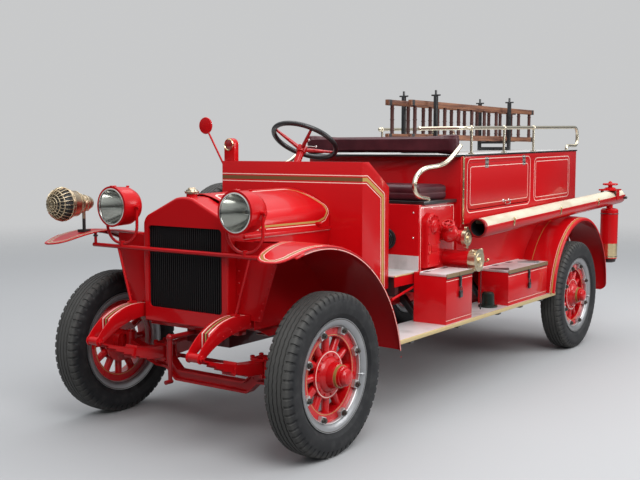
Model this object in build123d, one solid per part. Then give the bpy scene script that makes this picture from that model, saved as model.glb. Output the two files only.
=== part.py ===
from build123d import *
import math
import os

# Fire engine of the 1920s: millimetres, +X forward, +Y to the vehicle's left, +Z up.
# Pieces are drawn from the ground under the front axle, and written from the ground
# under the middle of the whole vehicle.

os.makedirs("parts", exist_ok=True)

# Running gear
wheelbase = 3258
tyre_r = 407
tyre_half_width = 82
rim_flange_r = 281
bead_r = 262
rim_base_r = 236
rim_half_width = 66
rim_lip = 7
felloe_inner_r = 190
felloe_half_width = 30
spoke_count = 12
lug_count = 8
front_wheel_y = 735
rear_wheel_y = 742
hub_half_length = 70
hub_r = 64
hub_flange_r = 120
front_hub_reach = 145
rear_hub_reach = 127
spindle_r = 28
kingpin_y = 620
kingpin_r = 16
steering_arm = 170
running_clearance = 0.1
seat_gap = 0.3

# Frame
rail_y = 346
rail_width = 76
rail_top = 684
rail_depth = 130
rail_rear_x = -wheelbase - 742
tow_eye_x = rail_rear_x - 60
tow_eye_z = 619
tow_eye_r = 16
frame_front_x = 175
dumb_iron_tip_x = 512
dumb_iron_nose_r = 26
dumb_iron_mid = (408, 648)
rail_web = 7
cross_member_x = (-900, -2000, -2900, rail_rear_x + 30)
engine_arm_x = (-60, -540)
engine_half_width = 150
board_bracket_x = (-760, -1330, -1900, -2250, -2600)
floor_bracket_x = (-1000, -1220)
floor_bracket_y = 545
rear_eye_z = 606
spring_eye_z = 527
spring_eye_r = 22
spring_pin_r = 10
spring_width = 64
front_spring_half = 512
front_axle_seat_z = 365
rear_axle_seat_z = 466
leaf_thickness = 9
front_leaf_count = 7
rear_spring_y = 436
rear_spring_half = 590
rear_leaf_count = 9

# Radiator and bonnet
radiator_front_x = 215
radiator_rear_x = 85
radiator_bottom = 598
radiator_top = 1264
shell_half_width = 292
shell_wall = 12
core_half_width = 255
core_bottom = 678
core_top = 1109
core_fin_pitch = 14
bonnet_front_top = 1276
bonnet_rear_top = 1288
bonnet_low = 1072
bonnet_wall = 4
bonnet_gap = 5

# Scuttle and cab
scuttle_front_x = -675
scuttle_half_width = 512
scuttle_top = 1437
scuttle_deck = 67
scuttle_depth = 285
scuttle_low = 700
scuttle_slope_z = 1291
scuttle_wall = 10
floor_top = 775
floor_thickness = 8
floor_half_width = 558
seat_front_x = -1240
seat_half_width = 555
seat_top = 1175
seat_rear_x = -1700
kick_top = 866
steering_wheel_x = -1270
steering_wheel_y = -320
steering_wheel_z = 1565
steering_wheel_r = 212
steering_rim_r = 16
column_tilt_deg = 31
column_r = 24

# Hose body
body_front_x = -1721
body_rear_x = -wheelbase - 456
body_half_width = 600
body_top_front = 1465
body_top_rear = 1501
body_low_front = 1029
body_low_rear = 1091
panel = 5
lower_half_width = 560
lower_bottom = 700
flap_front_x = -1800
flap_rear_x = -2775
flap_drop = 45
flap_height = 300
flap_gap = 5
flap_corner_r = 36

# Troughs and suction hoses
trough_y = 735
trough_front_x = -1671
trough_rear_x = -wheelbase - 1112
trough_front_z = 1018
trough_rear_z = 1119
hose_r = 58
hose_mouth_r = 51
trough_wall = 5
trough_rise = 14
trough_bracket_x = (-1800, -2420, -3060, body_rear_x + 54)
trough_bracket_drop = 30

# Running boards and boxes
board_top = 480
board_thickness = 14
board_inner_y = 535
board_outer_y = 800
board_front_x = -600
board_rear_x = -wheelbase + 438
box_inner_y = 566
box_outer_y = 785
box_wall = 4
front_box_x = (-1165, -1499)
front_box_top = 765
rear_box_x = (-2036, -2692)
rear_box_top = 700
lid_thickness = 15
hinge_r = 4
front_lid_y = 606

# Wings
wing_outer_y = 830
front_wing_inner_y = 412
front_wing_r = 765
front_wing_centre = (161, 299)
front_wing_flare_r = 620
front_wing_lip = 4
wing_sheet = 4
rear_wing_r = 578
rear_wing_centre = (-wheelbase - 32, 425)
rear_wing_corner_r = 70

# Lamps
lamp_front_x = 313
lamp_y = 426
lamp_z = 1204
lamp_depth = 165
lamp_bar_x = 238
lamp_bar_z = 986
lamp_bar_r = 11
bar_end_y = 650

# Pump
pump_casing_depth = 45
pump_x = -1349
suction_x = -1590
suction_z = 825

# Spare wheel, ladders and rails
pot_place = (-1930, 690)
spare_x = -943
spare_y = -700
ladder_y = 60
ladder_top = 1850
ladder_low = 1580
rail_r = 12
seat_rail_r = 14
handrail_y = 560
handrail_front_y = 230
post_y = 130
front_post_x = -2215
rear_post_x = -wheelbase - 194

# Overall reach, from which the middle of the vehicle follows
crank_z = 555
front_reach = dumb_iron_tip_x + dumb_iron_nose_r
rear_reach = -trough_rear_x
centre_shift = (rear_reach - front_reach) / 2


def block(x0, x1, y0, y1, z0, z1):
    """A box between two opposite corners."""
    size = (abs(x1 - x0), abs(y1 - y0), abs(z1 - z0))
    return Pos((x0 + x1) / 2, (y0 + y1) / 2, (z0 + z1) / 2) * Box(*size)


def rod(start, end, radius):
    """A round bar between two points."""
    along = Vector(*end) - Vector(*start)
    return extrude(Plane(origin=start, z_dir=along) * Circle(radius), along.length)


def bent_rod(points, bends, radius):
    """A round bar along straight runs joined by arcs, one bend radius a corner."""
    path = FilletPolyline(*points, radius=bends)
    return sweep(Plane(path @ 0, z_dir=path % 0) * Circle(radius), path)


def side_prism(points, y0, y1):
    """A side view outline in X and Z, as wide as y0 to y1."""
    plane = Plane(origin=(0, y1, 0), x_dir=(1, 0, 0), z_dir=(0, -1, 0))
    return extrude(plane * make_face(Polyline(*points, close=True)), y1 - y0)


def end_prism(points, x0, x1):
    """A front view outline in Y and Z, as long as x0 to x1."""
    plane = Plane(origin=(x0, 0, 0), x_dir=(0, 1, 0), z_dir=(1, 0, 0))
    return extrude(plane * make_face(Polyline(*points, close=True)), x1 - x0)


def eased(points, radius, low, high):
    """A flat outline whose corners are rounded where their first coordinate is from low to high."""
    face = make_face(Polyline(*points, close=True))
    corners = [corner for corner in face.vertices() if low < corner.X < high]
    return fillet(corners, radius)


def rounded_panel(points, y0, y1, radius):
    """A side view outline with every corner rounded, as wide as y0 to y1."""
    plane = Plane(origin=(0, y1, 0), x_dir=(1, 0, 0), z_dir=(0, -1, 0))
    face = make_face(Polyline(*points, close=True))
    return extrude(plane * fillet(face.vertices(), radius), y1 - y0)


def upright(points, centre):
    """A turned piece about a Z axis: radius and height above centre."""
    return Pos(*centre) * Rot(90, 0, 0) * turned(points)


def tapered_rod(start, end, first_r, last_r):
    """A round bar between two points that grows thinner on its way."""
    along = Vector(*end) - Vector(*start)
    middle = (Vector(*start) + Vector(*end)) * 0.5
    return Plane(origin=tuple(middle), z_dir=along) * Cone(first_r, last_r, along.length)


def swept_rod(points, radius):
    """A round bar along a smooth curve through the points."""
    path = Spline(*points)
    return sweep(Plane(path @ 0, z_dir=path % 0) * Circle(radius), path)


def turned(points, centre=(0, 0, 0)):
    """A turned piece: radius and distance along Y, spun about a Y axis at centre."""
    return Pos(*centre) * revolve(make_face(Polyline(*points, close=True)), Axis.Y)


def turned_x(points, centre=(0, 0, 0)):
    """A turned piece about an X axis: distance along X and radius."""
    return Pos(*centre) * revolve(make_face(Polyline(*points, close=True)), Axis.X)


def other_side(shape):
    """The same piece for the vehicle's right side."""
    return mirror(shape, about=Plane.XZ)


def both(shape):
    """Left piece and right piece, as two solids."""
    return [shape, other_side(shape)]


def solids_of(shape):
    """The solids in a shape or a list of shapes."""
    if isinstance(shape, (list, tuple)):
        found = []
        for item in shape:
            found.extend(solids_of(item))
        return found
    return list(shape.solids())


def save(name, shape):
    """Write one sub-part, moved from the front axle to the vehicle's middle."""
    pieces = [Pos(centre_shift, 0, 0) * solid for solid in solids_of(shape)]
    whole = pieces[0] if len(pieces) == 1 else Compound(children=pieces)
    export_step(whole, f"parts/{name}.step")


def between(x, x0, z0, x1, z1):
    """Height at x on the straight line from one side view point to another."""
    return z0 + (z1 - z0) * (x - x0) / (x1 - x0)


def body_top(x):
    return between(x, body_front_x, body_top_front, body_rear_x, body_top_rear)


def body_low(x):
    return between(x, body_front_x, body_low_front, body_rear_x, body_low_rear)


def trough_z(x):
    return between(x, trough_front_x, trough_front_z, trough_rear_x, trough_rear_z)


def trough_outer_r():
    return hose_r + seat_gap + trough_wall


def nose_start():
    """Where the dumb iron's upper edge runs into its rounded nose, in X and Z."""
    angle = math.radians(65)
    return dumb_iron_tip_x + dumb_iron_nose_r * math.cos(angle), spring_eye_z + dumb_iron_nose_r * math.sin(angle)


def dumb_iron_top(x):
    """Height of the dumb iron's upper edge at x, on the arc that make_rails draws."""
    ax, az = frame_front_x, rail_top
    bx, bz = dumb_iron_mid
    cx, cz = nose_start()
    d = 2 * (ax * (bz - cz) + bx * (cz - az) + cx * (az - bz))
    a2, b2, c2 = ax * ax + az * az, bx * bx + bz * bz, cx * cx + cz * cz
    centre_x = (a2 * (bz - cz) + b2 * (cz - az) + c2 * (az - bz)) / d
    centre_z = (a2 * (cx - bx) + b2 * (ax - cx) + c2 * (bx - ax)) / d
    radius = math.hypot(ax - centre_x, az - centre_z)
    return centre_z + math.sqrt(radius * radius - (x - centre_x) ** 2)


def trough_line(spare):
    """Both ends of the left trough's centre line, run on by a spare length at each end."""
    ends = [(x, trough_y, trough_z(x)) for x in (trough_front_x + spare, trough_rear_x - spare)]
    return ends[0], ends[1]


def make_rails():
    """Two channel rails whose front ends curve down as dumb irons, with the springs' brackets."""
    outer = rail_y + rail_width / 2
    inner = rail_y - rail_width / 2
    low = rail_top - rail_depth
    eye_x = dumb_iron_tip_x
    nose_low = (eye_x, spring_eye_z - dumb_iron_nose_r)
    top_curve = ThreePointArc((frame_front_x, rail_top), dumb_iron_mid, nose_start())
    nose = ThreePointArc(nose_start(), (eye_x + dumb_iron_nose_r, spring_eye_z), nose_low)
    under = ThreePointArc(nose_low, (350, 590), (frame_front_x - 60, 612))
    bottom = Polyline((frame_front_x - 60, 612), (0, low), (rail_rear_x, low), (rail_rear_x, rail_top),
                      (frame_front_x, rail_top))
    plane = Plane(origin=(0, outer, 0), x_dir=(1, 0, 0), z_dir=(0, -1, 0))
    rail = extrude(plane * face_of([top_curve, nose, under, bottom]), rail_width)
    rail -= block(rail_rear_x - 1, 60, inner - 1, outer - rail_web, low + rail_web, rail_top - rail_web)
    cheek_gap = spring_width / 2 + seat_gap
    rail -= block(eye_x - 75, eye_x + 60, rail_y - cheek_gap, rail_y + cheek_gap, low - 150, rail_top)
    rail += rod((eye_x, inner, spring_eye_z), (eye_x, outer, spring_eye_z), spring_pin_r)
    hanger_x = eye_x - 2 * front_spring_half
    for y in (inner, rail_y + cheek_gap):
        rail += block(hanger_x - 30, hanger_x + 30, y, y + rail_width / 2 - cheek_gap, spring_eye_z - 26, low)
    rail += rod((hanger_x, inner, spring_eye_z), (hanger_x, outer, spring_eye_z), spring_pin_r)
    near = rear_spring_y - spring_width / 2 - seat_gap
    far = rear_spring_y + spring_width / 2 + 6
    for end in (-1, 1):
        x = -wheelbase + end * rear_spring_half
        rail += block(x - 28, x + 28, outer - 1, near, rear_eye_z - 34, rear_eye_z + 34)
        rail += rod((x, outer - 1, rear_eye_z), (x, far, rear_eye_z), spring_pin_r)
    return both(rail)


def make_cross_members():
    """Cross members between the rails, and the four arms that carry the engine."""
    low = rail_top - rail_depth
    reach = rail_y + rail_width / 2 - rail_web - seat_gap
    members = []
    for x in cross_member_x:
        members.append(block(x - 30, x + 30, -reach, reach, low + 20, rail_top - 20))
    inner = rail_y - rail_width / 2 - seat_gap
    members.append(block(90, 150, -inner, inner, crank_z + 15, radiator_bottom - seat_gap))
    for x in engine_arm_x:
        arm = block(x - 25, x + 25, engine_half_width + seat_gap, reach, 590, 640)
        members.extend(both(arm))
    return members


def make_board_brackets():
    """Arms from the rails to the running boards, and outriggers under the cab floor."""
    outer = rail_y + rail_width / 2 + seat_gap
    board_low = board_top - board_thickness - seat_gap
    floor_low = floor_top - floor_thickness - seat_gap
    arm = [(outer, 650), (outer, 566), (520, board_low - 34), (board_outer_y - 10, board_low - 24),
           (board_outer_y - 10, board_low), (board_inner_y - 8, board_low), (outer + 22, 610), (outer + 22, 650)]
    brackets = []
    for x in board_bracket_x:
        brackets.extend(both(end_prism(arm, x - 20, x + 20)))
    for x in floor_bracket_x:
        brackets.extend(both(block(x - 20, x + 20, outer, floor_bracket_y, 650, floor_low)))
    return brackets


def make_leaf_spring(centre_x, y, eye_z, half, count, seat_z):
    """A pack of leaves that share one centre, longest on top, with an eye at each end."""
    top_z = seat_z + count * leaf_thickness
    sag = eye_z - top_z
    radius = (half * half + sag * sag) / (2 * sag)
    centre_z = top_z + radius
    plane = Plane(origin=(centre_x, y + spring_width / 2, centre_z), x_dir=(1, 0, 0), z_dir=(0, -1, 0))
    step = (half - 110) / count
    pack = None
    for number in range(count):
        length = half - number * step
        inner_r = radius + number * leaf_thickness
        outer_r = inner_r + leaf_thickness
        angle = length / radius
        ends = []
        for r in (inner_r, outer_r):
            ends.append(((-r * math.sin(angle), -r * math.cos(angle)), (0, -r),
                         (r * math.sin(angle), -r * math.cos(angle))))
        low_arc = ThreePointArc(*ends[1])
        high_arc = ThreePointArc(*ends[0])
        sides = [Line(ends[0][0], ends[1][0]), Line(ends[0][2], ends[1][2])]
        face = make_face([*low_arc.edges(), *high_arc.edges(), *sides[0].edges(), *sides[1].edges()])
        leaf = extrude(plane * face, spring_width)
        pack = leaf if pack is None else pack + leaf
    for end in (-1, 1):
        at = (centre_x + end * half, y, eye_z)
        eye = Pos(*at) * Rot(90, 0, 0) * Cylinder(spring_eye_r, spring_width)
        pack += eye
    for end in (-1, 1):
        at = (centre_x + end * half, y, eye_z)
        pack -= Pos(*at) * Rot(90, 0, 0) * Cylinder(spring_pin_r + running_clearance, spring_width + 2)
    return pack


def make_springs():
    front = make_leaf_spring(dumb_iron_tip_x - front_spring_half, rail_y, spring_eye_z, front_spring_half,
                             front_leaf_count, front_axle_seat_z + seat_gap)
    rear = make_leaf_spring(-wheelbase, rear_spring_y, rear_eye_z, rear_spring_half, rear_leaf_count,
                            rear_axle_seat_z + seat_gap)
    return both(front) + both(rear)


def u_bolts(x, y, seat_z, stack, low_z):
    """Two U bolts and the clamp plate that hold a spring on its seat."""
    top = seat_z + stack + 1.6
    half = spring_width / 2 + 14
    shape = block(x - 50, x + 50, y - half, y + half, top, top + 12)
    for dx in (-36, 36):
        for dy in (-1, 1):
            shape += rod((x + dx, y + dy * (half - 4), low_z), (x + dx, y + dy * (half - 4), top + 22), 8)
    return shape


def make_front_axle():
    """A dropped I-section beam with spring seats and an eye at each end for the king pin."""
    eye_low, eye_high = tyre_r - 45, tyre_r + 45
    half = [(0, 301), (235, 301), (300, 365), (395, 365), (520, 402), (kingpin_y - 20, 432),
            (kingpin_y - 20, 378), (530, 345), (400, 305), (325, 303), (255, 240), (0, 240)]
    plane = Plane(origin=(-28, 0, 0), x_dir=(0, 1, 0), z_dir=(1, 0, 0))
    beam = extrude(plane * eased(half, 28, 100, 580), 56)
    pocket = [(-10, 289), (228, 289), (296, 352), (390, 352), (515, 390), (560, 402), (560, 378),
              (525, 358), (396, 318), (320, 316), (250, 252), (-10, 252)]
    for side in (-1, 1):
        plane = Plane(origin=(min(side * 9, side * 29), 0, 0), x_dir=(0, 1, 0), z_dir=(1, 0, 0))
        beam -= extrude(plane * eased(pocket, 22, 100, 540), 20)
    beam += Pos(0, kingpin_y, tyre_r) * Cylinder(30, 90)
    beam -= Pos(0, kingpin_y, tyre_r) * Cylinder(kingpin_r + running_clearance, 100)
    beam += block(-62, 62, rail_y - 42, rail_y + 42, 345, front_axle_seat_z)
    beam += u_bolts(0, rail_y, front_axle_seat_z, front_leaf_count * leaf_thickness, 330)
    return beam + other_side(beam)


def make_knuckle():
    """Steering knuckle: a fork on the king pin, the wheel's spindle and the steering arm."""
    fork_half = 45 + seat_gap
    knuckle = block(-34, 34, 655, 664.5, tyre_r - fork_half - 18, tyre_r + fork_half + 18)
    for side in (-1, 1):
        z0 = tyre_r + side * fork_half
        z1 = z0 + side * 18
        arm = Pos(0, kingpin_y, (z0 + z1) / 2) * Cylinder(30, 18)
        arm += block(-30, 30, kingpin_y, 656, min(z0, z1), max(z0, z1))
        knuckle += arm
    knuckle += rod((0, kingpin_y, tyre_r - fork_half - 30), (0, kingpin_y, tyre_r + fork_half + 30), kingpin_r)
    spindle_end = front_wheel_y + hub_half_length - 15
    knuckle += rod((0, 664, tyre_r), (0, spindle_end, tyre_r), spindle_r)
    low = tyre_r - fork_half - 18
    knuckle += block(-steering_arm, -20, kingpin_y - 14, kingpin_y + 14, low, low + 16)
    knuckle += Pos(-steering_arm, kingpin_y, low + 8) * Cylinder(20, 16)
    knuckle += rod((-steering_arm, kingpin_y, low - 34), (-steering_arm, kingpin_y, low + 4), 9)
    return knuckle


def make_tie_rod():
    """The bar that joins the two steering arms behind the axle."""
    z = tyre_r - 45 - seat_gap - 18 - 17
    bar = rod((-steering_arm, -kingpin_y + 14, z), (-steering_arm, kingpin_y - 14, z), 12)
    for side in (-1, 1):
        bar += Pos(-steering_arm, side * kingpin_y, z) * Cylinder(19, 33)
    for side in (-1, 1):
        bar -= Pos(-steering_arm, side * kingpin_y, z) * Cylinder(9.5, 60)
    return bar


def make_rear_axle():
    """Axle casing with its final drive, spring seats, brake plates and the propeller shaft."""
    inner_y = rear_wheel_y - hub_half_length - 0.5
    casing = rod((-wheelbase, 0, tyre_r), (-wheelbase, inner_y, tyre_r), 48)
    casing += rod((-wheelbase, inner_y - 1, tyre_r), (-wheelbase, rear_wheel_y + hub_half_length - 15, tyre_r),
                  spindle_r)
    casing += Pos(-wheelbase, inner_y - 6, tyre_r) * Rot(90, 0, 0) * Cylinder(186, 6)
    casing += block(-wheelbase - 62, -wheelbase + 62, rear_spring_y - 42, rear_spring_y + 42, 440,
                    rear_axle_seat_z)
    casing += u_bolts(-wheelbase, rear_spring_y, rear_axle_seat_z, rear_leaf_count * leaf_thickness, 360)
    axle = casing + other_side(casing)
    bowl = [(0, -95), (120, -95), (165, -40), (165, 40), (120, 95), (0, 95)]
    axle += turned(bowl, (-wheelbase, 0, tyre_r))
    nose = [(0, 0), (260, 0), (260, 48), (200, 60), (90, 120), (0, 130)]
    axle += turned_x(nose, (-wheelbase, 0, tyre_r))
    axle += rod((-wheelbase + 250, 0, tyre_r), (-1150, 0, 560), 32)
    axle += Pos(-1150, 0, 560) * Sphere(70)
    return axle


def make_tyre():
    """The left front tyre, turned about its own axle line: radius and half width, side by side."""
    bead_y = rim_half_width - rim_lip
    wide = tyre_half_width
    half = [(bead_r, bead_y), (rim_flange_r + 2, bead_y), (305, wide - 7), (335, wide), (366, wide - 3),
            (390, wide - 11), (tyre_r - 3, wide - 22), (tyre_r, 40)]
    outline = half + [(r, -y) for r, y in reversed(half)]
    return turned(outline)


def make_wheel(with_drum, reach):
    """Demountable rim, felloe, tapered spokes and a stepped hub, turned about its axle line."""
    seat = bead_r - seat_gap
    lip = rim_half_width - rim_lip + seat_gap
    rim_half = [(rim_base_r, rim_half_width - 20), (rim_base_r + 14, rim_half_width - 6),
                (rim_flange_r, rim_half_width), (rim_flange_r, lip), (seat, lip)]
    rim = turned(rim_half + [(r, -y) for r, y in reversed(rim_half)])
    felloe = turned([(felloe_inner_r, -felloe_half_width), (rim_base_r + 1, -felloe_half_width),
                     (rim_base_r + 1, felloe_half_width), (felloe_inner_r, felloe_half_width)])
    bore = spindle_r + running_clearance
    bore_end = hub_half_length - 10
    flange = hub_flange_r
    hub = turned([(bore, -hub_half_length), (hub_r, -hub_half_length), (hub_r, -32), (flange, -32),
                  (flange, -24), (76, -24), (76, 14), (flange, 14), (flange, 24), (90, 27), (84, 38),
                  (hub_r + 4, 50), (hub_r - 4, reach - 61), (hub_r - 7, reach - 59), (hub_r - 7, reach - 46),
                  (50, reach - 45), (50, reach - 33), (44, reach - 31), (43, reach - 16), (34, reach - 5),
                  (14, reach), (0, reach), (0, bore_end), (bore, bore_end)])
    wheel = rim + felloe + hub
    spoke_root = 66
    spoke_end = felloe_inner_r + 10
    for number in range(spoke_count):
        turn = 360 * number / spoke_count
        spoke = Pos(0, 0, (spoke_root + spoke_end) / 2) * Cone(22, 19, spoke_end - spoke_root)
        wheel += Rot(0, turn, 0) * spoke
    for number in range(lug_count):
        turn = 360 * (number + 0.5) / lug_count
        lug = block(-20, 20, felloe_half_width - 1, 50, 206, 248)
        nut = Pos(0, 56, 224) * Rot(90, 0, 0) * extrude(RegularPolygon(15, 6), 8, both=True)
        stud = Pos(0, 66, 224) * Rot(90, 0, 0) * Cylinder(7, 10)
        wheel += Rot(0, turn, 0) * (lug + nut + stud)
    if with_drum:
        wheel += turned([(60, -44), (180, -44), (190, -40), (190, -66), (182, -66), (182, -52), (60, -52)])
    return wheel


def place_wheel(shape, side, x, y):
    """A wheel piece in its place, mirrored on the vehicle's right."""
    placed = Pos(x, y, tyre_r) * shape
    return placed if side > 0 else other_side(placed)


def shell_outline(x, grow):
    """Front view of the radiator: gabled top, rounded shoulders, straight sides."""
    half = shell_half_width + grow
    top = radiator_top + grow
    return [
        Line((-half, radiator_bottom - grow), (half, radiator_bottom - grow)),
        Line((half, radiator_bottom - grow), (half, 1100)),
        ThreePointArc((half, 1100), (half - 10, 1142 + grow * 0.7), (half - 40, 1168 + grow)),
        Line((half - 40, 1168 + grow), (62, top - 8)),
        ThreePointArc((62, top - 8), (0, top), (-62, top - 8)),
        Line((-62, top - 8), (40 - half, 1168 + grow)),
        ThreePointArc((40 - half, 1168 + grow), (10 - half, 1142 + grow * 0.7), (-half, 1100)),
        Line((-half, 1100), (-half, radiator_bottom - grow)),
    ]


def face_of(outline):
    return make_face([edge for item in outline for edge in item.edges()])


def make_radiator_shell():
    """Pressed shell with a window for the core, a filler neck and its cap."""
    plane = Plane(origin=(radiator_rear_x, 0, 0), x_dir=(0, 1, 0), z_dir=(1, 0, 0))
    depth = radiator_front_x - radiator_rear_x
    shell = extrude(plane * face_of(shell_outline(0, 0)), depth)
    front_edges = shell.faces().sort_by(Axis.X)[-1].edges()
    shell = fillet(front_edges, 14)
    shell -= extrude(plane * face_of(shell_outline(0, -shell_wall)), depth - shell_wall)
    window = Pos(radiator_front_x - 30, 0, (core_bottom + core_top) / 2)
    cut = Plane.YZ * RectangleRounded(2 * core_half_width, core_top - core_bottom, 22)
    shell -= window * extrude(cut, 60)
    neck_x = (radiator_front_x + radiator_rear_x) / 2
    neck_and_cap = [(0, -12), (28, -12), (28, 14), (36, 16), (36, 24), (31, 26), (29, 34), (18, 40), (0, 42)]
    return shell + upright(neck_and_cap, (neck_x, 0, radiator_top))


def make_radiator_core():
    """The core behind the window: a block whose face is a row of upright fins."""
    front = radiator_front_x - shell_wall - seat_gap
    core = block(front - 50, front - 14, -core_half_width - 15, core_half_width + 15, core_bottom - 18,
                 core_top + 20)
    half = core_half_width + 10
    count = int(2 * half / core_fin_pitch)
    for number in range(count + 1):
        y = -half + number * 2 * half / count
        core += block(front - 15, front, y - 2.5, y + 2.5, core_bottom - 10, core_top + 12)
    return core


def bonnet_face(x, crest, inset, half_width, shoulder):
    """Half of the bonnet's section at one place along it, from the middle to the side."""
    gap = bonnet_gap / 2
    top = crest - inset
    side = half_width - inset
    low = bonnet_low - inset
    corner_y = half_width - 46 - inset * 0.5
    corner_z = shoulder - inset
    mid = ((gap + corner_y) / 2, top - (top - corner_z) * 0.30)
    outline = [
        Line((gap, low), (gap, top)),
        ThreePointArc((gap, top), mid, (corner_y, corner_z)),
        ThreePointArc((corner_y, corner_z), (side - 9, corner_z - 34), (side, corner_z - 72)),
        Line((side, corner_z - 72), (side, low)),
        Line((side, low), (gap, low)),
    ]
    plane = Plane(origin=(x, 0, 0), x_dir=(0, 1, 0), z_dir=(1, 0, 0))
    return plane * face_of(outline)


def make_bonnet():
    """Left half of the bonnet, hinged along the middle, from radiator to scuttle."""
    front_x = radiator_rear_x - bonnet_gap
    rear_x = scuttle_front_x + bonnet_gap
    outer = loft([bonnet_face(front_x, bonnet_front_top, 0, 290, 1172),
                  bonnet_face(rear_x, bonnet_rear_top, 0, 292, 1204)], ruled=True)
    inner = loft([bonnet_face(front_x + 1, bonnet_front_top, bonnet_wall, 290, 1172),
                  bonnet_face(rear_x - 1, bonnet_rear_top, bonnet_wall, 292, 1204)], ruled=True)
    return outer - inner


def make_engine_sides():
    """Fixed sides under the bonnet, with a ledge that it shuts on and louvres, and its hinge pin."""
    front_x = radiator_rear_x - seat_gap
    rear_x = scuttle_front_x + seat_gap
    top = bonnet_low - seat_gap
    side = block(rear_x, front_x, 286, 290, rail_top + seat_gap, top - 12)
    side += block(rear_x, front_x, 276, 300, top - 16, top)
    for number in range(9):
        x = -110 - number * 52
        side += end_prism([(289, 780), (299, 780), (290, 985), (289, 985)], x - 18, x)
    pin_r = bonnet_gap / 2 - seat_gap
    hinge = rod((rear_x, 0, bonnet_rear_top - pin_r), (front_x, 0, bonnet_front_top - pin_r), pin_r)
    return both(side) + [hinge]


def wing_section(centre_r, outward, y0, y1, lip):
    """Section across a wing in radius and Y: crowned sheet with a rolled lip at its outer edge.
    Outward is 1 where the sheet lies outside its arc and -1 where it is seen from inside."""
    t = wing_sheet
    crown = 8
    edge = y1 - 14
    mid = (y0 + edge) / 2

    def at(drop, y):
        return (centre_r - outward * drop, y)

    outline = [
        ThreePointArc(at(crown, y0), at(0, mid), at(crown - 2, edge)),
        ThreePointArc(at(crown - 2, edge), at(11, y1 - 4), at(22, y1)),
        Line(at(22, y1), at(22 + lip, y1)),
        Line(at(22 + lip, y1), at(22 + lip, y1 - t)),
        Line(at(22 + lip, y1 - t), at(22, y1 - t)),
        ThreePointArc(at(22, y1 - t), at(14, y1 - 4 - t), at(crown - 2 + t, edge)),
        ThreePointArc(at(crown - 2 + t, edge), at(t, mid), at(crown + t, y0)),
        Line(at(crown + t, y0), at(crown, y0)),
    ]
    return face_of(outline)


def swept_wing(centre, radius, start_deg, end_deg, y0, y1, lip):
    """A wing that follows an arc about a Y axis, angles counted from +X towards +Z."""
    face = wing_section(radius, 1, y0, y1, lip)
    turned_wing = revolve(face, Axis.Y, revolution_arc=end_deg - start_deg)
    return Pos(centre[0], 0, centre[1]) * Rot(0, -end_deg, 0) * turned_wing


def make_front_wing():
    """Left front wing: over the wheel on one arc, then flared forward into a leaf with a round nose."""
    cx, cz = front_wing_centre
    join_deg = 72
    rear_deg = 180 - math.degrees(math.asin((board_top - 40 - cz) / front_wing_r))
    wing = swept_wing(front_wing_centre, front_wing_r, join_deg, rear_deg, front_wing_inner_y, wing_outer_y,
                      front_wing_lip)
    join = math.radians(join_deg)
    reach = front_wing_r + front_wing_flare_r
    face = wing_section(front_wing_flare_r, -1, front_wing_inner_y, wing_outer_y, front_wing_lip)
    flare = revolve(face, Axis.Y, revolution_arc=16)
    wing += Pos(cx + reach * math.cos(join), 0, cz + reach * math.sin(join)) * Rot(0, -(196 + join_deg), 0) * flare
    corner = (152, front_wing_inner_y + 136)
    inner_start = (205, 606)
    side_end = (331, wing_outer_y + 1)
    ahead = 900
    past = wing_outer_y + 90
    leaf = Spline(inner_start, (340, 630), (424, 662), (468, 708), (474, 752), (452, 792), (400, 815), side_end,
                  tangents=[(1, 0.12), (-1, 0.12)])
    front = face_of([
        Line((152, front_wing_inner_y - 60), corner),
        ThreePointArc(corner, (166, 588), inner_start),
        leaf,
        Line(side_end, (side_end[0], past)),
        Line((side_end[0], past), (ahead, past)),
        Line((ahead, past), (ahead, front_wing_inner_y - 60)),
        Line((ahead, front_wing_inner_y - 60), (152, front_wing_inner_y - 60)),
    ])
    return wing - Pos(0, 0, 700) * extrude(front, 600)


def make_valances():
    """Panels between the frame and the front wings: a facing piece in front and a long side."""
    y = front_wing_inner_y - seat_gap
    cx, cz = front_wing_centre
    side = rod((cx, y - 4, cz), (cx, y, cz), front_wing_r - 8)
    side &= side_prism([(150, 610), (150, 1100), (-592, 1100), (-592, 560), (-400, 610)], y - 4, y)
    foot = rail_top + seat_gap
    under_wing = cz + front_wing_r - 13
    facing = [(shell_half_width + 1, foot), (rail_y + rail_width / 2 + 4, foot), (rail_y + rail_width / 2 + 4, 656),
              (454, 656), (551, 942), (548, under_wing), (shell_half_width + 1, under_wing)]
    side += end_prism(facing, 146, 150)
    return both(side)


def make_scuttle():
    """The wide box in front of the driver: front panel, sides, top and sloping instrument board."""
    front = scuttle_front_x
    rear = front - scuttle_depth
    slope_x = front - scuttle_deck
    outline = [(front, scuttle_low), (front, scuttle_top), (slope_x, scuttle_top), (rear, scuttle_slope_z),
               (rear, scuttle_low)]
    shell = side_prism(outline, -scuttle_half_width, scuttle_half_width)
    t = scuttle_wall
    slope = (scuttle_top - scuttle_slope_z) / (slope_x - rear)
    drop = t * math.sqrt(1 + slope * slope)
    inner_slope_x = slope_x + (drop - t) / slope
    inner_rear_z = scuttle_slope_z - drop - slope
    inner = [(front - t, scuttle_low - 1), (front - t, scuttle_top - t), (inner_slope_x, scuttle_top - t),
             (rear - 1, inner_rear_z), (rear - 1, scuttle_low - 1)]
    half = scuttle_half_width - t
    shell -= side_prism(inner, -half, half)
    angle = math.degrees(math.atan(slope))
    mid_x = (slope_x + rear) / 2
    mid_z = (scuttle_top + scuttle_slope_z) / 2
    for y, radius in ((-120, 42), (0, 56), (120, 42)):
        dial = Pos(mid_x, y, mid_z) * Rot(0, -angle, 0) * Cylinder(radius, 22)
        shell += dial
    return shell


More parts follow.
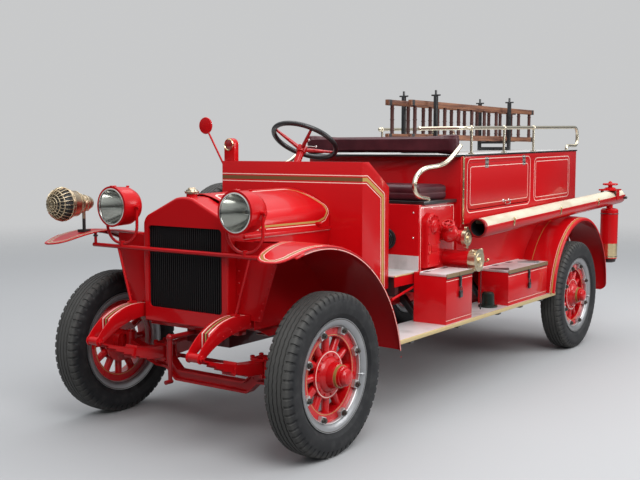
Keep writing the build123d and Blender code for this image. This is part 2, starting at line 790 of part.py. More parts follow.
def make_cab_floor():
    """Aluminium floor, and the kick plate that turns up in front of the seat box."""
    low = floor_top - floor_thickness
    inside = scuttle_half_width - scuttle_wall - seat_gap
    rear = scuttle_front_x - scuttle_depth - seat_gap
    front = scuttle_front_x - scuttle_wall - seat_gap
    plate = block(front, rear - 1, -inside, inside, low, floor_top)
    plate += block(rear, seat_front_x + seat_gap, -floor_half_width, floor_half_width, low, floor_top)
    plate += block(seat_front_x + seat_gap, seat_front_x + 3, -seat_half_width, seat_half_width, low, kick_top)
    top, foot = column_line()
    plate -= rod(top, foot, column_r + seat_gap)
    return plate


def make_seat_box():
    """Closed box under the seat and the panel that stands behind it."""
    box = block(seat_rear_x, seat_front_x, -seat_half_width, seat_half_width, rail_top + seat_gap, seat_top)
    box -= block(seat_rear_x + 5, seat_front_x - 5, -seat_half_width + 5, seat_half_width - 5, 600, seat_top - 5)
    back_x = body_front_x + seat_gap
    box += block(back_x, back_x + 16, -body_half_width + 5, body_half_width - 5, 1010, 1462)
    box += block(back_x + 10, seat_rear_x + 5, -seat_half_width, seat_half_width, 1010, seat_top)
    sill_front = scuttle_front_x - scuttle_depth - 2
    sill = block(seat_front_x - 5, sill_front, seat_half_width - 6, seat_half_width, 708,
                 floor_top - floor_thickness - seat_gap)
    return box + sill + other_side(sill)


def make_seat_board():
    """Black boards that carry the seat and back cushions."""
    low = seat_top + seat_gap
    board = block(-1700, -1272, -570, 570, low, low + 20)
    back = block(-1720, -1630, -590, 590, 1462 + seat_gap, 1475)
    return [board, back]


def make_cushions():
    """Seat cushion and back cushion, each a plain rounded block."""
    low = seat_top + 20 + 2 * seat_gap
    seat = block(-1668, -1280, -540, 540, low, 1292)
    seat = fillet(seat.edges(), 18)
    back = block(-1725, -1636, -592, 592, 1475 + seat_gap, 1612)
    back = fillet(back.edges(), 22)
    return seat, back


def column_axis():
    """Direction of the steering column, from the wheel down to the frame."""
    tilt = math.radians(column_tilt_deg)
    return Vector(math.sin(tilt), 0, -math.cos(tilt))


def column_line():
    """Both ends of the steering column's centre line."""
    down = column_axis()
    centre = Vector(steering_wheel_x, steering_wheel_y, steering_wheel_z)
    length = (steering_wheel_z - rail_top - 60) / -down.Z
    return tuple(centre), tuple(centre + down * length)


def make_steering():
    """Steering column with its box on the frame, and the dished four-arm wheel."""
    down = column_axis()
    centre = Vector(steering_wheel_x, steering_wheel_y, steering_wheel_z)
    hub_drop = 62
    hub_top = centre + down * (hub_drop - 16)
    hub_low = centre + down * (hub_drop + 26)
    foot = Vector(*column_line()[1])
    shaft = rod(tuple(hub_low + down * seat_gap), tuple(foot), column_r)
    shaft += rod(tuple(hub_top + down * 6), tuple(hub_low + down * 2), 10)
    shaft += block(foot.X - 60, foot.X + 70, steering_wheel_y - 50, steering_wheel_y + 50, rail_top + seat_gap,
                   rail_top + 76)
    wheel_plane = Plane(origin=tuple(centre), x_dir=(0, 1, 0), z_dir=tuple(down * -1))
    wheel = wheel_plane * Torus(steering_wheel_r, steering_rim_r)
    wheel += rod(tuple(hub_top), tuple(hub_low), 34)
    wheel -= rod(tuple(hub_top + down * 5.5), tuple(hub_low + down * 3), 10 + running_clearance)
    side = Vector(0, 1, 0)
    ahead = Vector(-down.Z, 0, down.X)
    for number in range(4):
        turn = math.radians(45 + 90 * number)
        out = side * math.cos(turn) + ahead * math.sin(turn)
        start = centre + down * hub_drop + out * 20
        end = centre + out * (steering_wheel_r - 4)
        wheel += tapered_rod(tuple(start), tuple(end), 14, 8)
    return shaft, wheel


def make_body_panels():
    """Upper body: sloping side panels, end panels and floor, open on top under the deck."""
    outline = [(body_front_x, body_low_front), (body_front_x, body_top_front), (body_rear_x, body_top_rear),
               (body_rear_x, body_low_rear)]
    body = side_prism(outline, -body_half_width, body_half_width)
    inner = [(body_front_x - panel, body_low_front + 12), (body_front_x - panel, 1600),
             (body_rear_x + panel, 1600), (body_rear_x + panel, body_low_rear + 10)]
    half = body_half_width - panel
    body -= side_prism(inner, -half, half)
    hole = rounded_panel(flap_outline(flap_gap), half - 1, body_half_width + 1, flap_corner_r + flap_gap)
    body -= hole
    body -= other_side(hole)
    return body


def flap_outline(grow):
    """Side view of a locker flap, parallel to the body's top edge."""
    outline = []
    for x, down, dx, dz in ((flap_front_x, 0, 1, 1), (flap_rear_x, 0, -1, 1), (flap_rear_x, 1, -1, -1),
                            (flap_front_x, 1, 1, -1)):
        z = body_top(x) - flap_drop - down * flap_height
        lift = dz * grow if down else min(grow, 1)
        outline.append((x + dx * grow, z + lift))
    return outline


def make_flap():
    """Left locker flap, in the plane of the side panel, hinged on its top edge."""
    return rounded_panel(flap_outline(0), body_half_width - panel, body_half_width, flap_corner_r)


def make_body_deck():
    """Polished deck over the body, edged with a narrow strip."""
    lift = seat_gap
    front = body_front_x - 8
    rear = body_rear_x - 8
    outline = [(front, body_top(front) + lift), (front, body_top(front) + 10), (rear, body_top(rear) + 10),
               (rear, body_top(rear) + lift)]
    return side_prism(outline, -body_half_width - 6, body_half_width + 6)


def make_lower_body():
    """Skirt between the frame and the upper body, with its bearers."""
    front = body_front_x + seat_gap
    rear = body_rear_x
    outline = [(front, lower_bottom), (front, body_low(front) - seat_gap), (rear, body_low(rear) - seat_gap),
               (rear, lower_bottom)]
    body = side_prism(outline, -lower_half_width, lower_half_width)
    inner = [(front - panel, lower_bottom - 1), (front - panel, 1200), (rear + panel, 1200),
             (rear + panel, lower_bottom - 1)]
    half = lower_half_width - panel
    body -= side_prism(inner, -half, half)
    bearer_x = (-1780, -2420, -3060, body_rear_x + 54)
    for x in bearer_x:
        body += block(x - 30, x + 30, -half - 1, half + 1, rail_top + seat_gap, rail_top + 60)
    for x in bearer_x:
        top = body_low(x + 20) - 0.6
        body += block(x - 20, x + 20, -half - 1, half + 1, top - 40, top)
    return body


def make_troughs():
    """Round-bottomed open troughs with their brackets on the body's skirt."""
    start, end = trough_line(30)
    inner_r = hose_r + seat_gap
    outer_r = trough_outer_r()
    rise = trough_rise
    outline = [
        Line((-outer_r, -rise), (-outer_r, 0)),
        ThreePointArc((-outer_r, 0), (0, outer_r), (outer_r, 0)),
        Line((outer_r, 0), (outer_r, -rise)),
        Line((outer_r, -rise), (inner_r, -rise)),
        Line((inner_r, -rise), (inner_r, 0)),
        ThreePointArc((inner_r, 0), (0, inner_r), (-inner_r, 0)),
        Line((-inner_r, 0), (-inner_r, -rise)),
        Line((-inner_r, -rise), (-outer_r, -rise)),
    ]
    along = Vector(*end) - Vector(*start)
    trough = extrude(Plane(origin=start, x_dir=(0, 1, 0), z_dir=along) * face_of(outline), along.length)
    for x in trough_bracket_x:
        z = trough_z(x) - outer_r
        drop = trough_bracket_drop
        arm = block(x - 18, x + 18, lower_half_width + seat_gap, trough_y, z - 4, z + 14)
        arm += end_prism([(lower_half_width + seat_gap, z - drop), (lower_half_width + seat_gap, z + 2),
                          (trough_y - 40, z + 2)], x - 3, x + 3)
        trough += arm - rod(start, end, inner_r + 1)
    trough &= block(trough_front_x, trough_rear_x, 500, 900, 700, 1300)
    return both(trough)


def make_suction_hoses():
    """Suction hoses lying in the troughs, open in front, each with a lugged coupling."""
    start, end = trough_line(30)
    hose = rod(start, end, hose_r) & block(trough_front_x - 4, trough_rear_x + 6, 500, 900, 700, 1300)
    mouth_start = (trough_front_x, trough_y, trough_z(trough_front_x))
    mouth_end = (trough_front_x - 220, trough_y, trough_z(trough_front_x - 220))
    hose -= rod(mouth_start, mouth_end, hose_mouth_r)
    return both(hose)


def make_tool_boxes():
    """Open tool boxes that stand on the running boards: one tall, one long, and one on the right."""
    boxes = []
    for ends, top, side in ((front_box_x, front_box_top, 1), (rear_box_x, rear_box_top, 1),
                            (rear_box_x, rear_box_top, -1)):
        low = board_top + seat_gap
        box = block(ends[0], ends[1], box_inner_y, box_outer_y, low, top)
        box -= block(ends[0] - box_wall, ends[1] + box_wall, box_inner_y + box_wall, box_outer_y - box_wall,
                     low + box_wall, top + 1)
        boxes.append(box if side > 0 else other_side(box))
    boxes[0] += block(front_box_x[0], front_box_x[1], box_inner_y, front_lid_y - hinge_r - seat_gap,
                      front_box_top - 1, front_box_top + seat_gap + lid_thickness)
    return boxes


def make_lid(ends, top, hinge_y):
    """A box lid with its hinge barrel on the inner edge, a lip on the outer edge, and its hasp."""
    low = top + seat_gap
    high = low + lid_thickness
    lid = block(ends[0] + 3, ends[1] - 3, hinge_y, box_outer_y + 6, low, high)
    lid -= block(ends[0] - 4, ends[1] + 4, hinge_y + 6, box_outer_y - 6, low - 1, high - 4)
    lid += block(ends[0] + 3, ends[1] - 3, box_outer_y + seat_gap, box_outer_y + 6, low - 12, high)
    lid += rod((ends[0] - 3, hinge_y, high), (ends[1] + 3, hinge_y, high), hinge_r)
    x = (ends[0] + ends[1]) / 2
    lid += block(x - 14, x + 14, box_outer_y + 5, box_outer_y + 9, low - 70, low + 6)
    return lid


def make_rear_wing():
    """Left rear wing, on one arc about the rear axle, its lower rear corner rounded."""
    lip_r = rear_wing_r - 34
    cx, cz = rear_wing_centre
    start = math.degrees(math.asin((board_top + seat_gap - cz) / lip_r))
    inner_y = lower_half_width + seat_gap
    wing = swept_wing(rear_wing_centre, rear_wing_r, start, 185, inner_y, wing_outer_y, 8)
    round_y = wing_outer_y - rear_wing_corner_r
    round_z = cz - 52 + rear_wing_corner_r
    rear = cx - rear_wing_r
    corner = block(rear - 20, rear + 80, round_y, wing_outer_y + 1, cz - 80, round_z)
    corner -= rod((rear - 21, round_y, round_z), (rear + 81, round_y, round_z), rear_wing_corner_r)
    return wing - corner


def make_running_boards():
    """Running boards with a raised outer edge."""
    board = block(board_front_x, board_rear_x, board_inner_y, board_outer_y, board_top - board_thickness,
                  board_top)
    board += block(board_front_x, board_rear_x, board_outer_y - 2, board_outer_y + 4,
                   board_top - board_thickness - 8, board_top + 2)
    return both(board)


def make_lamps():
    """Head lamp drums in U forks, on a bar across the radiator, which slanting posts carry."""
    front_x = lamp_front_x
    z = lamp_z
    back = lamp_depth
    drum = turned_x([(0, 0), (4, 50), (25, 86), (58, 101), (back - 20, 105), (back, 108), (back, 98),
                     (back - 14, 96), (60, 92), (30, 76), (14, 46), (10, 0)], (front_x - back, lamp_y, z))
    fork_r = 113
    bar_x = lamp_bar_x
    bar_z = lamp_bar_z
    arc_low = bar_z + lamp_bar_r + 9
    fork = bent_rod([(bar_x, lamp_y - fork_r, z), (bar_x, lamp_y - fork_r, arc_low),
                     (bar_x, lamp_y + fork_r, arc_low), (bar_x, lamp_y + fork_r, z)], [100, 100], 8)
    lamp = drum + fork
    for side in (-1, 1):
        lamp += rod((bar_x, lamp_y + side * (fork_r + 12), z), (bar_x, lamp_y + side * 100, z), 10)
    lamp += rod((bar_x, lamp_y, bar_z), (bar_x, lamp_y, arc_low + 12), 12.5)
    foot = dumb_iron_top(bar_x) + seat_gap
    lamp += rod((bar_x, lamp_y + 32, bar_z), (bar_x, rail_y + 20, foot + 2), 7)
    lamp += block(bar_x - 16, bar_x + 16, rail_y - 6, rail_y + 34, foot, foot + 8)
    wing_under = front_wing_centre[1] + front_wing_r - 14
    lamp += rod((bar_x, bar_end_y - 14, bar_z), (bar_x, bar_end_y - 14, wing_under), 8)
    bar = rod((bar_x, -bar_end_y, bar_z), (bar_x, bar_end_y, bar_z), lamp_bar_r)
    return lamp + other_side(lamp) + bar


def make_lamp_glasses():
    """Lamp glasses, one each side, inside the drums' rims."""
    glass = turned_x([(0, 0), (0, 95.8), (4, 95.8), (12, 60), (14, 0)], (lamp_front_x - 11, lamp_y, lamp_z))
    return both(glass)


def make_siren():
    """Brass siren with a domed guard, on a bracket on the right wing."""
    z = 1212
    y = -700
    horn = turned_x([(0, 0), (0, 38), (20, 44), (56, 44), (62, 52), (90, 66), (150, 80), (158, 80),
                     (158, 88), (170, 88), (198, 82), (222, 66), (240, 40), (247, 0)], (232, y, z))
    cx, cz = front_wing_centre
    foot = cz + front_wing_r - 20
    post = rod((262, y, z - 40), (262, y, foot), 9)
    post += block(236, 288, y - 24, y + 24, foot, cz + front_wing_r + 4)
    post += rod((262, y - 34, z - 34), (262, y + 34, z - 34), 8)
    post -= rod((cx, y - 100, cz), (cx, y + 100, cz), front_wing_r + seat_gap)
    return horn + post


def make_cab_fittings():
    """Round-topped red lamp and mirror on the right of the scuttle, and the horn on the seat box."""
    x = scuttle_front_x - 34
    y = -467
    base = scuttle_top + seat_gap
    half = 40
    lamp = block(x - 20, x + 20, y - half, y + half, base, base + 98)
    lamp += Pos(x, y, base + 98) * Rot(0, 90, 0) * Cylinder(half, 40)
    side = -scuttle_half_width - seat_gap
    stalk = rod((x, side, scuttle_top - 26), (x, side - 16, scuttle_top - 26), 9)
    stalk += rod((x, side - 12, scuttle_top - 34), (x, -672, 1642), 6)
    disc = turned_x([(-6, 0), (-6, 50), (0, 53), (6, 50), (6, 0)], (x, -676, 1655))
    horn = turned_x([(0, 0), (0, 62), (10, 66), (20, 62), (26, 40), (22, 0)],
                    (seat_front_x + seat_gap, 333, 961))
    return [lamp, stalk + disc, horn]


def make_crank():
    """Starting handle, hanging below the radiator."""
    elbow_x = 325
    handle = rod((60, 0, crank_z), (elbow_x, 0, crank_z), 13)
    handle += Pos(elbow_x, 0, crank_z) * Sphere(19)
    handle += tapered_rod((elbow_x, 0, crank_z), (elbow_x, 0, 326), 15, 10)
    handle += rod((elbow_x - 12, 0, 328), (elbow_x + 34, 0, 328), 11)
    handle += block(100, 140, -40, 40, crank_z - 14, crank_z + 15 - seat_gap)
    return handle


def make_pump_casing():
    """Arched pump casing on the left of the seat box."""
    low, spring, half = 792, 1046, 79
    x = pump_x
    outline = [
        Line((x - half, low), (x + half, low)),
        Line((x + half, low), (x + half, spring)),
        ThreePointArc((x + half, spring), (x, spring + half), (x - half, spring)),
        Line((x - half, spring), (x - half, low)),
    ]
    y = seat_half_width + seat_gap
    plane = Plane(origin=(0, y + pump_casing_depth, 0), x_dir=(1, 0, 0), z_dir=(0, -1, 0))
    casing = extrude(plane * face_of(outline), pump_casing_depth)
    return fillet(casing.faces().sort_by(Axis.Y)[-1].edges(), 14)


def make_suction_inlet():
    """Suction pipe of the pump, closed by a cap with four round lugs."""
    x, z = suction_x, suction_z
    inlet = turned([(0, 0), (56, 0), (56, 180), (66, 180), (66, 195), (70, 198), (70, 232), (0, 232)],
                   (x, seat_half_width + seat_gap, z))
    for number in range(4):
        turn = math.radians(45 + 90 * number)
        at = (x + 72 * math.cos(turn), z + 72 * math.sin(turn))
        inlet += rod((at[0], 758, at[1]), (at[0], 782, at[1]), 13)
    return inlet


def make_delivery_valve():
    """Globe valve with its capped outlet, turned down and outwards, and its hand wheel above."""
    body = Vector(pump_x - 151, 624, 992)
    outlet = Vector(pump_x - 225, 0, 962)
    valve = rod((body.X, seat_half_width + seat_gap, body.Z), tuple(body), 44)
    valve += Pos(*body) * Sphere(58)
    valve += rod(tuple(body), (outlet.X + 6, 670, outlet.Z + 3), 38)
    valve += turned([(0, 658), (46, 658), (46, 689), (52, 691), (52, 716), (0, 716)], tuple(outlet))
    for side in (-1, 1):
        lug_z = outlet.Z + side * 55
        valve += rod((outlet.X, 695, lug_z), (outlet.X, 712, lug_z), 14)
    wheel_at = body + Vector(48, 16, 60)
    stem = (wheel_at - body).normalized()
    valve += rod(tuple(body), tuple(wheel_at + stem * 8), 12)
    hand = Plane(origin=tuple(wheel_at), z_dir=stem)
    ring = turned([(28, -6), (36, -8), (42, 0), (36, 8), (28, 6)])
    valve += hand * Rot(90, 0, 0) * ring
    valve += hand * Box(62, 8, 8)
    valve += hand * Box(8, 62, 8)
    return valve


def make_pump_fittings():
    """Everything of the pump that shows on the left, and the brake lever under the cab floor."""
    lever_y = floor_bracket_y + seat_gap + 8
    lever = rod((-930, lever_y, 640), (-1232, lever_y, 696), 8)
    return [make_pump_casing(), make_suction_inlet(), make_delivery_valve(), lever]


def make_pot():
    """Stepped round pot that stands on the left running board."""
    outline = [(0, 0), (62, 0), (62, 12), (44, 16), (40, 88), (30, 98), (0, 100)]
    return Pos(*pot_place, board_top + seat_gap) * Rot(90, 0, 0) * turned(outline)


def make_handrails():
    """Brass rails along the deck on their stanchions, and the S rails at the seat's ends."""
    y = handrail_y

    def rail_z(x):
        return 1633 + 0.0232 * (-1205 - x)

    def deck_z(x):
        return body_top(x - 18) + 10 + seat_gap

    loop_x = body_rear_x - 116
    foot_x = body_rear_x + 114
    front_x = -1815
    right_start_x = -2590
    foot_z = deck_z(foot_x)
    loop = [(loop_x, y, rail_z(loop_x)), (loop_x, y, foot_z + 34), (foot_x, y, foot_z + 34), (foot_x, y, foot_z)]
    left = bent_rod([(front_x, handrail_front_y, rail_z(front_x)), (front_x, y, rail_z(front_x)), *loop],
                    [80, 64, 48, 24], rail_r)
    left += Pos(front_x, handrail_front_y, rail_z(front_x)) * Sphere(rail_r + 5)
    right = bent_rod([(right_start_x, y, rail_z(right_start_x)), *loop], [64, 48, 24], rail_r)
    right += Pos(right_start_x, y, rail_z(right_start_x)) * Sphere(rail_r + 5)
    rails = []
    for rail, stanchions in ((left, (front_x - 96, -2417, -2932)), (right, (-2620, -2932, -3440))):
        for x in stanchions:
            rail += rod((x, y, deck_z(x)), (x, y, rail_z(x)), 8)
            rail += Pos(x, y, rail_z(x)) * Sphere(rail_r + 5)
            rail += Pos(x, y, deck_z(x) + 4) * Cylinder(20, 8)
        rails.append(rail)
    foot = seat_top + 20 + 2 * seat_gap
    seat_rail = swept_rod([(-1658, 610, 1531), (-1559, 608, 1468), (-1471, 604, 1426), (-1373, 600, 1408),
                           (-1303, 590, 1402), (-1221, 575, 1380), (-1184, 562, 1339), (-1169, 560, 1292),
                           (-1193, 558, 1250), (-1256, 557, 1222), (-1345, 556, foot + seat_rail_r)], seat_rail_r)
    seat_rail += Pos(-1345, 556, foot + seat_rail_r) * Sphere(seat_rail_r)
    seat_rail += Pos(-1345, 556, foot + 6) * Cylinder(seat_rail_r + 1, 12)
    seat_rail += Pos(-1658, 610, 1531) * Sphere(seat_rail_r)
    return [rails[0], other_side(rails[1]), *both(seat_rail)]


def make_gallows():
    """Two pairs of posts across the deck that hold the ladders on edge."""
    shapes = []
    for x in (front_post_x, rear_post_x):
        base = body_top(x - 12) + 10 + seat_gap
        frame = block(x - 12, x + 12, -post_y - 12, post_y + 12, base, base + 26)
        for side in (-1, 1):
            y = side * post_y
            frame += block(x - 12, x + 12, y - 12, y + 12, base, 1890)
            frame += rod((x, y, 1880), (x, y, 1925), 8)
            frame += rod((x, y - 34, 1890), (x, y + 34, 1890), 6)
        frame += block(x - 9, x + 9, -post_y, post_y, ladder_low - 20, ladder_low - seat_gap)
        shapes.append(frame)
    return shapes


def make_ladder(front_x, length, y):
    """One ladder on edge: two stiles and the rungs between them."""
    half = 26
    stile = 38
    ladder = block(front_x, front_x - length, y - half / 2, y + half / 2, ladder_low, ladder_low + stile)
    ladder += block(front_x, front_x - length, y - half / 2, y + half / 2, ladder_top - stile, ladder_top)
    count = 10
    for number in range(count):
        x = front_x - 70 - number * (length - 140) / (count - 1)
        ladder += rod((x, y, ladder_low + stile - 4), (x, y, ladder_top - stile + 4), 13)
    return ladder


def make_rear_fittings():
    """Hand extinguisher under the trough's rear end, and the screw clamp above the hose."""
    x = trough_rear_x + 210
    outer_r = trough_outer_r()
    under = trough_z(x) - outer_r
    outline = [(0, 0), (46, 0), (60, 8), (64, 30), (71, 34), (71, 440), (60, 452), (26, 458), (26, under - 569 + 12),
               (0, under - 569 + 12)]
    bottle = upright(outline, (x, trough_y, 569))
    bottle -= rod(*trough_line(30), outer_r + seat_gap)
    clamp_half = 80
    top = trough_z(x - clamp_half) + hose_r + seat_gap
    cheek = outer_r + seat_gap
    clamp = block(x - clamp_half, x + clamp_half, trough_y - cheek - 6, trough_y + cheek + 6, top, top + 12)
    for side in (-1, 1):
        near, far = trough_y + side * cheek, trough_y + side * (cheek + 6)
        clamp += block(x - 30, x + 30, near, far, top - 74, top + 4)
    clamp += upright([(0, 0), (52, 0), (40, 14), (18, 18), (18, 44), (0, 44)], (x, trough_y, top + 10))
    clamp += Pos(x, trough_y, top + 52) * Torus(54, 8)
    clamp += block(x - 54, x + 54, trough_y - 6, trough_y + 6, top + 46, top + 58)
    clamp += block(x - 6, x + 6, trough_y - 54, trough_y + 54, top + 46, top + 58)
    clamp += Pos(x, trough_y, top + 62) * Sphere(16)
    return [bottle, clamp]


def make_tow_eye():
    """Plate with an upright bore for a drawbar pin, on the rear cross member."""
    back = rail_rear_x - seat_gap
    eye = block(back, back - 12, -60, 60, 580, 660)
    eye += block(back - 11, tow_eye_x, -42, 42, tow_eye_z - 12, tow_eye_z + 12)
    eye += Pos(tow_eye_x, 0, tow_eye_z) * Cylinder(42, 24)
    return eye - Pos(tow_eye_x, 0, tow_eye_z) * Cylinder(tow_eye_r, 30)


def make_spare():
    """Spare wheel and tyre, standing on the right running board beside the scuttle."""
    z = board_top + seat_gap + tyre_r
    pieces = (make_tyre(), make_wheel(False, front_hub_reach))
    return [Pos(spare_x, spare_y, z) * other_side(piece) for piece in pieces]


def main():
    save("chassis_rails", make_rails())
    save("cross_members", make_cross_members())
    save("board_brackets", make_board_brackets())
    save("leaf_springs", make_springs())
    save("front_axle", make_front_axle())
    knuckle = make_knuckle()
    save("knuckle_left", knuckle)
    save("knuckle_right", other_side(knuckle))
    save("tie_rod", make_tie_rod())
    save("rear_axle", make_rear_axle())
    tyre = make_tyre()
    front_wheel = make_wheel(False, front_hub_reach)
    rear_wheel = make_wheel(True, rear_hub_reach)
    for name, side, x, y, wheel in (("front_left", 1, 0, front_wheel_y, front_wheel),
                                    ("front_right", -1, 0, front_wheel_y, front_wheel),
                                    ("rear_left", 1, -wheelbase, rear_wheel_y, rear_wheel),
                                    ("rear_right", -1, -wheelbase, rear_wheel_y, rear_wheel)):
        save(f"tyre_{name}", place_wheel(tyre, side, x, y))
        save(f"wheel_{name}", place_wheel(wheel, side, x, y))
    spare_tyre, spare_wheel = make_spare()
    save("spare_tyre", spare_tyre)
    save("spare_wheel", spare_wheel)
    save("engine_block", block(40, -620, -engine_half_width, engine_half_width, 470, 1050))
    save("radiator_shell", make_radiator_shell())
    save("radiator_core", make_radiator_core())
    bonnet = make_bonnet()
    save("bonnet_left", bonnet)
    save("bonnet_right", other_side(bonnet))
    save("engine_sides", make_engine_sides())
    save("front_wings", both(make_front_wing()))
    save("valances", make_valances())
    save("scuttle", make_scuttle())
    save("cab_floor", make_cab_floor())
    save("seat_box", make_seat_box())
    save("seat_boards", make_seat_board())
    seat, back = make_cushions()
    save("seat_cushion", seat)
    save("back_cushion", back)
    column, wheel = make_steering()
    save("steering_column", column)
    save("steering_wheel", wheel)
    save("pump_fittings", [*make_pump_fittings(), make_pot()])
    save("body_panels", make_body_panels())
    save("lower_body", make_lower_body())
    save("body_deck", make_body_deck())
    flap = make_flap()
    save("flap_left", flap)
    save("flap_right", other_side(flap))
    save("hose_troughs", make_troughs())
    save("suction_hoses", make_suction_hoses())
    save("handrails", make_handrails())
    save("ladder_gallows", make_gallows())
    save("ladders", [make_ladder(-1973, 2115, ladder_y), make_ladder(-1868, 2115, -ladder_y)])
    save("running_boards", make_running_boards())
    save("tool_boxes", make_tool_boxes())
    save("lid_front_left", make_lid(front_box_x, front_box_top, front_lid_y))
    rear_lid = make_lid(rear_box_x, rear_box_top, box_inner_y)
    save("lid_rear_left", rear_lid)
    save("lid_rear_right", other_side(rear_lid))
    save("rear_wings", both(make_rear_wing()))
    save("lamps", make_lamps())
    save("lamp_glasses", make_lamp_glasses())
    save("siren", make_siren())
    save("cab_fittings", make_cab_fittings())
    save("starting_crank", make_crank())
    save("tow_eye", make_tow_eye())
    save("rear_fittings", make_rear_fittings())


main()
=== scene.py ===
import math

import bmesh
import bpy
import numpy as np
from mathutils import Matrix, Vector


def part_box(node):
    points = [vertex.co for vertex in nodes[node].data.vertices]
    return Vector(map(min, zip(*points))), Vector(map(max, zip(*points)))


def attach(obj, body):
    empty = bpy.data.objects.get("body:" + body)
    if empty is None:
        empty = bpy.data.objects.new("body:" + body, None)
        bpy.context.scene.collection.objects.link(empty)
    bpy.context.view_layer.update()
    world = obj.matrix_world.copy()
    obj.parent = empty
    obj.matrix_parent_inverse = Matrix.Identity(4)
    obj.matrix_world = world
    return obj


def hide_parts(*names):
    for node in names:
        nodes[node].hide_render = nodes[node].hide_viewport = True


# Looks of an open fire engine of the 1920s, dressed around its CAD frame. +X forward, +Y to the
# vehicle's left, +Z up. Shapes are drawn in millimetres from the ground under the front axle, as
# the CAD source counts them, and piece() turns them into metres.

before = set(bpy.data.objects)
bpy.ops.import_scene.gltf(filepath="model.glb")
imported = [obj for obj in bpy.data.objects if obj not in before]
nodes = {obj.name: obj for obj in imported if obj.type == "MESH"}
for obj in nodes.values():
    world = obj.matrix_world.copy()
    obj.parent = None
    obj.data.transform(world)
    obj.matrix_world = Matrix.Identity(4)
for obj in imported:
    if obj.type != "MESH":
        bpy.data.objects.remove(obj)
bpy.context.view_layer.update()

scene = bpy.context.scene
tyre_low, tyre_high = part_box("tyre_front_left")
axle_x = (tyre_low[0] + tyre_high[0]) / 2
tyre_r = 1000 * (tyre_high[2] - tyre_low[2]) / 2

# Driving places of the CAD source
wheelbase = 3258
wheel_y = {"front": 735, "rear": 742}
hub_reach = {"front": 145, "rear": 127}
spare_place = (-943, -700, 887.3)
rail_y = 346
scuttle_front_x = -675
floor_top = 775
body_front_x, body_rear_x = -1721, -3714
body_half_width = 600
body_top_front, body_top_rear = 1465, 1501
trough_front, trough_rear = (-1671, 1018), (-4370, 1119)
trough_y = 735
hose_r, hose_mouth_r = 58, 51
lamp_place = (313, 426, 1204)
siren_place = (232, -700, 1212)
wing_centre, wing_r, flare_r, join_deg = (161, 299), 765, 620, 72
rear_wing_centre = (-3290, 425)
steering_centre, column_tilt_deg = (-1270, -320, 1565), 31
suction_place, valve_place = (-1590, 825), (-1574, 962)
fittings_x = -4160
ladder_places = ((-1973, 60), (-1868, -60))
sides = (("left", 1), ("right", -1))

TURN = 2 * math.pi
X, Y, Z = (1, 0, 0), (0, 1, 0), (0, 0, 1)


def between(x, start, end):
    """Height at x on the straight line from one side view point to another."""
    return start[1] + (end[1] - start[1]) * (x - start[0]) / (end[0] - start[0])


def heading(angle):
    """Unit vector in side view, at that angle from forward to up."""
    return np.array([math.cos(angle), 0, math.sin(angle)])


def body_top(x):
    return between(x, (body_front_x, body_top_front), (body_rear_x, body_top_rear))


def trough_z(x):
    return between(x, trough_front, trough_rear)


def leaf_z(x, y):
    """Top of the front wing: height on the arch, or on the arc flared forward of it, less the crown
    8 ((y - 614) / 202)^2."""
    drop = 8 * ((np.asarray(y) - 614) / 202) ** 2
    join = math.radians(join_deg)
    reach = wing_r + flare_r
    flare_x, flare_z = wing_centre[0] + reach * math.cos(join), wing_centre[1] + reach * math.sin(join)
    arch = wing_centre[1] + np.sqrt((wing_r - drop) ** 2 - (x - wing_centre[0]) ** 2)
    flare = flare_z - np.sqrt((flare_r + drop) ** 2 - (x - flare_x) ** 2)
    return np.where(x < wing_centre[0] + wing_r * math.cos(join), arch, flare)


# Shapes: every function returns corners, an array of places, and quads, an array of corner numbers

def grid(points, wrap_rows=False):
    """Quads over a grid whose rows close to rings, and its columns too if asked: cell (i, j) joins the
    points (i, j), (i+1, j), (i+1, j+1) and (i, j+1)."""
    rows, columns = points.shape[:2]
    i, j = np.meshgrid(np.arange(rows if wrap_rows else rows - 1), np.arange(columns), indexing="ij")
    row, next_row = i * columns, (i + 1) % rows * columns
    next_j = (j + 1) % columns
    quads = np.stack([row + j, next_row + j, next_row + next_j, row + next_j], axis=-1)
    return points.reshape(-1, 3), quads.reshape(-1, 4)


def turned(profile, centre, axis, steps, loop=False):
    """Surface of revolution: centre + along(t) axis + radius(t) (cos a first + sin a second)."""
    profile = np.asarray(profile, float)
    axis = np.asarray(axis, float) / np.linalg.norm(axis)
    first = np.cross(Z if abs(axis[2]) < 0.9 else X, axis)
    first /= np.linalg.norm(first)
    second = np.cross(axis, first)
    angle = np.arange(steps) * TURN / steps
    around_axis = np.cos(angle)[:, None] * first + np.sin(angle)[:, None] * second
    points = np.asarray(centre) + profile[:, None, 1:2] * axis + profile[:, None, 0:1] * around_axis[None]
    return grid(points, loop)


def swept(section, path, up, closed=False):
    """A section carried along a path: path(t) + across(s) side(t) + height(s) over(t).

    The side is the tangent crossed with up, and over is the side crossed with the tangent. An open
    path gets its first and last place once more with the section shrunk onto it, which closes it.
    """
    path = np.asarray(path, float)
    if closed:
        tangent = np.roll(path, -1, axis=0) - np.roll(path, 1, axis=0)
    else:
        tangent = np.gradient(path, axis=0)
    tangent /= np.linalg.norm(tangent, axis=1, keepdims=True)
    side = np.cross(tangent, np.asarray(up, float))
    side /= np.linalg.norm(side, axis=1, keepdims=True)
    over = np.cross(side, tangent)
    section = np.asarray(section, float)
    points = path[:, None] + section[None, :, :1] * side[:, None] + section[None, :, 1:] * over[:, None]
    if not closed:
        first = np.repeat(path[:1, None], len(section), axis=1)
        last = np.repeat(path[-1:, None], len(section), axis=1)
        points = np.concatenate([first, points, last])
    return grid(points, closed)


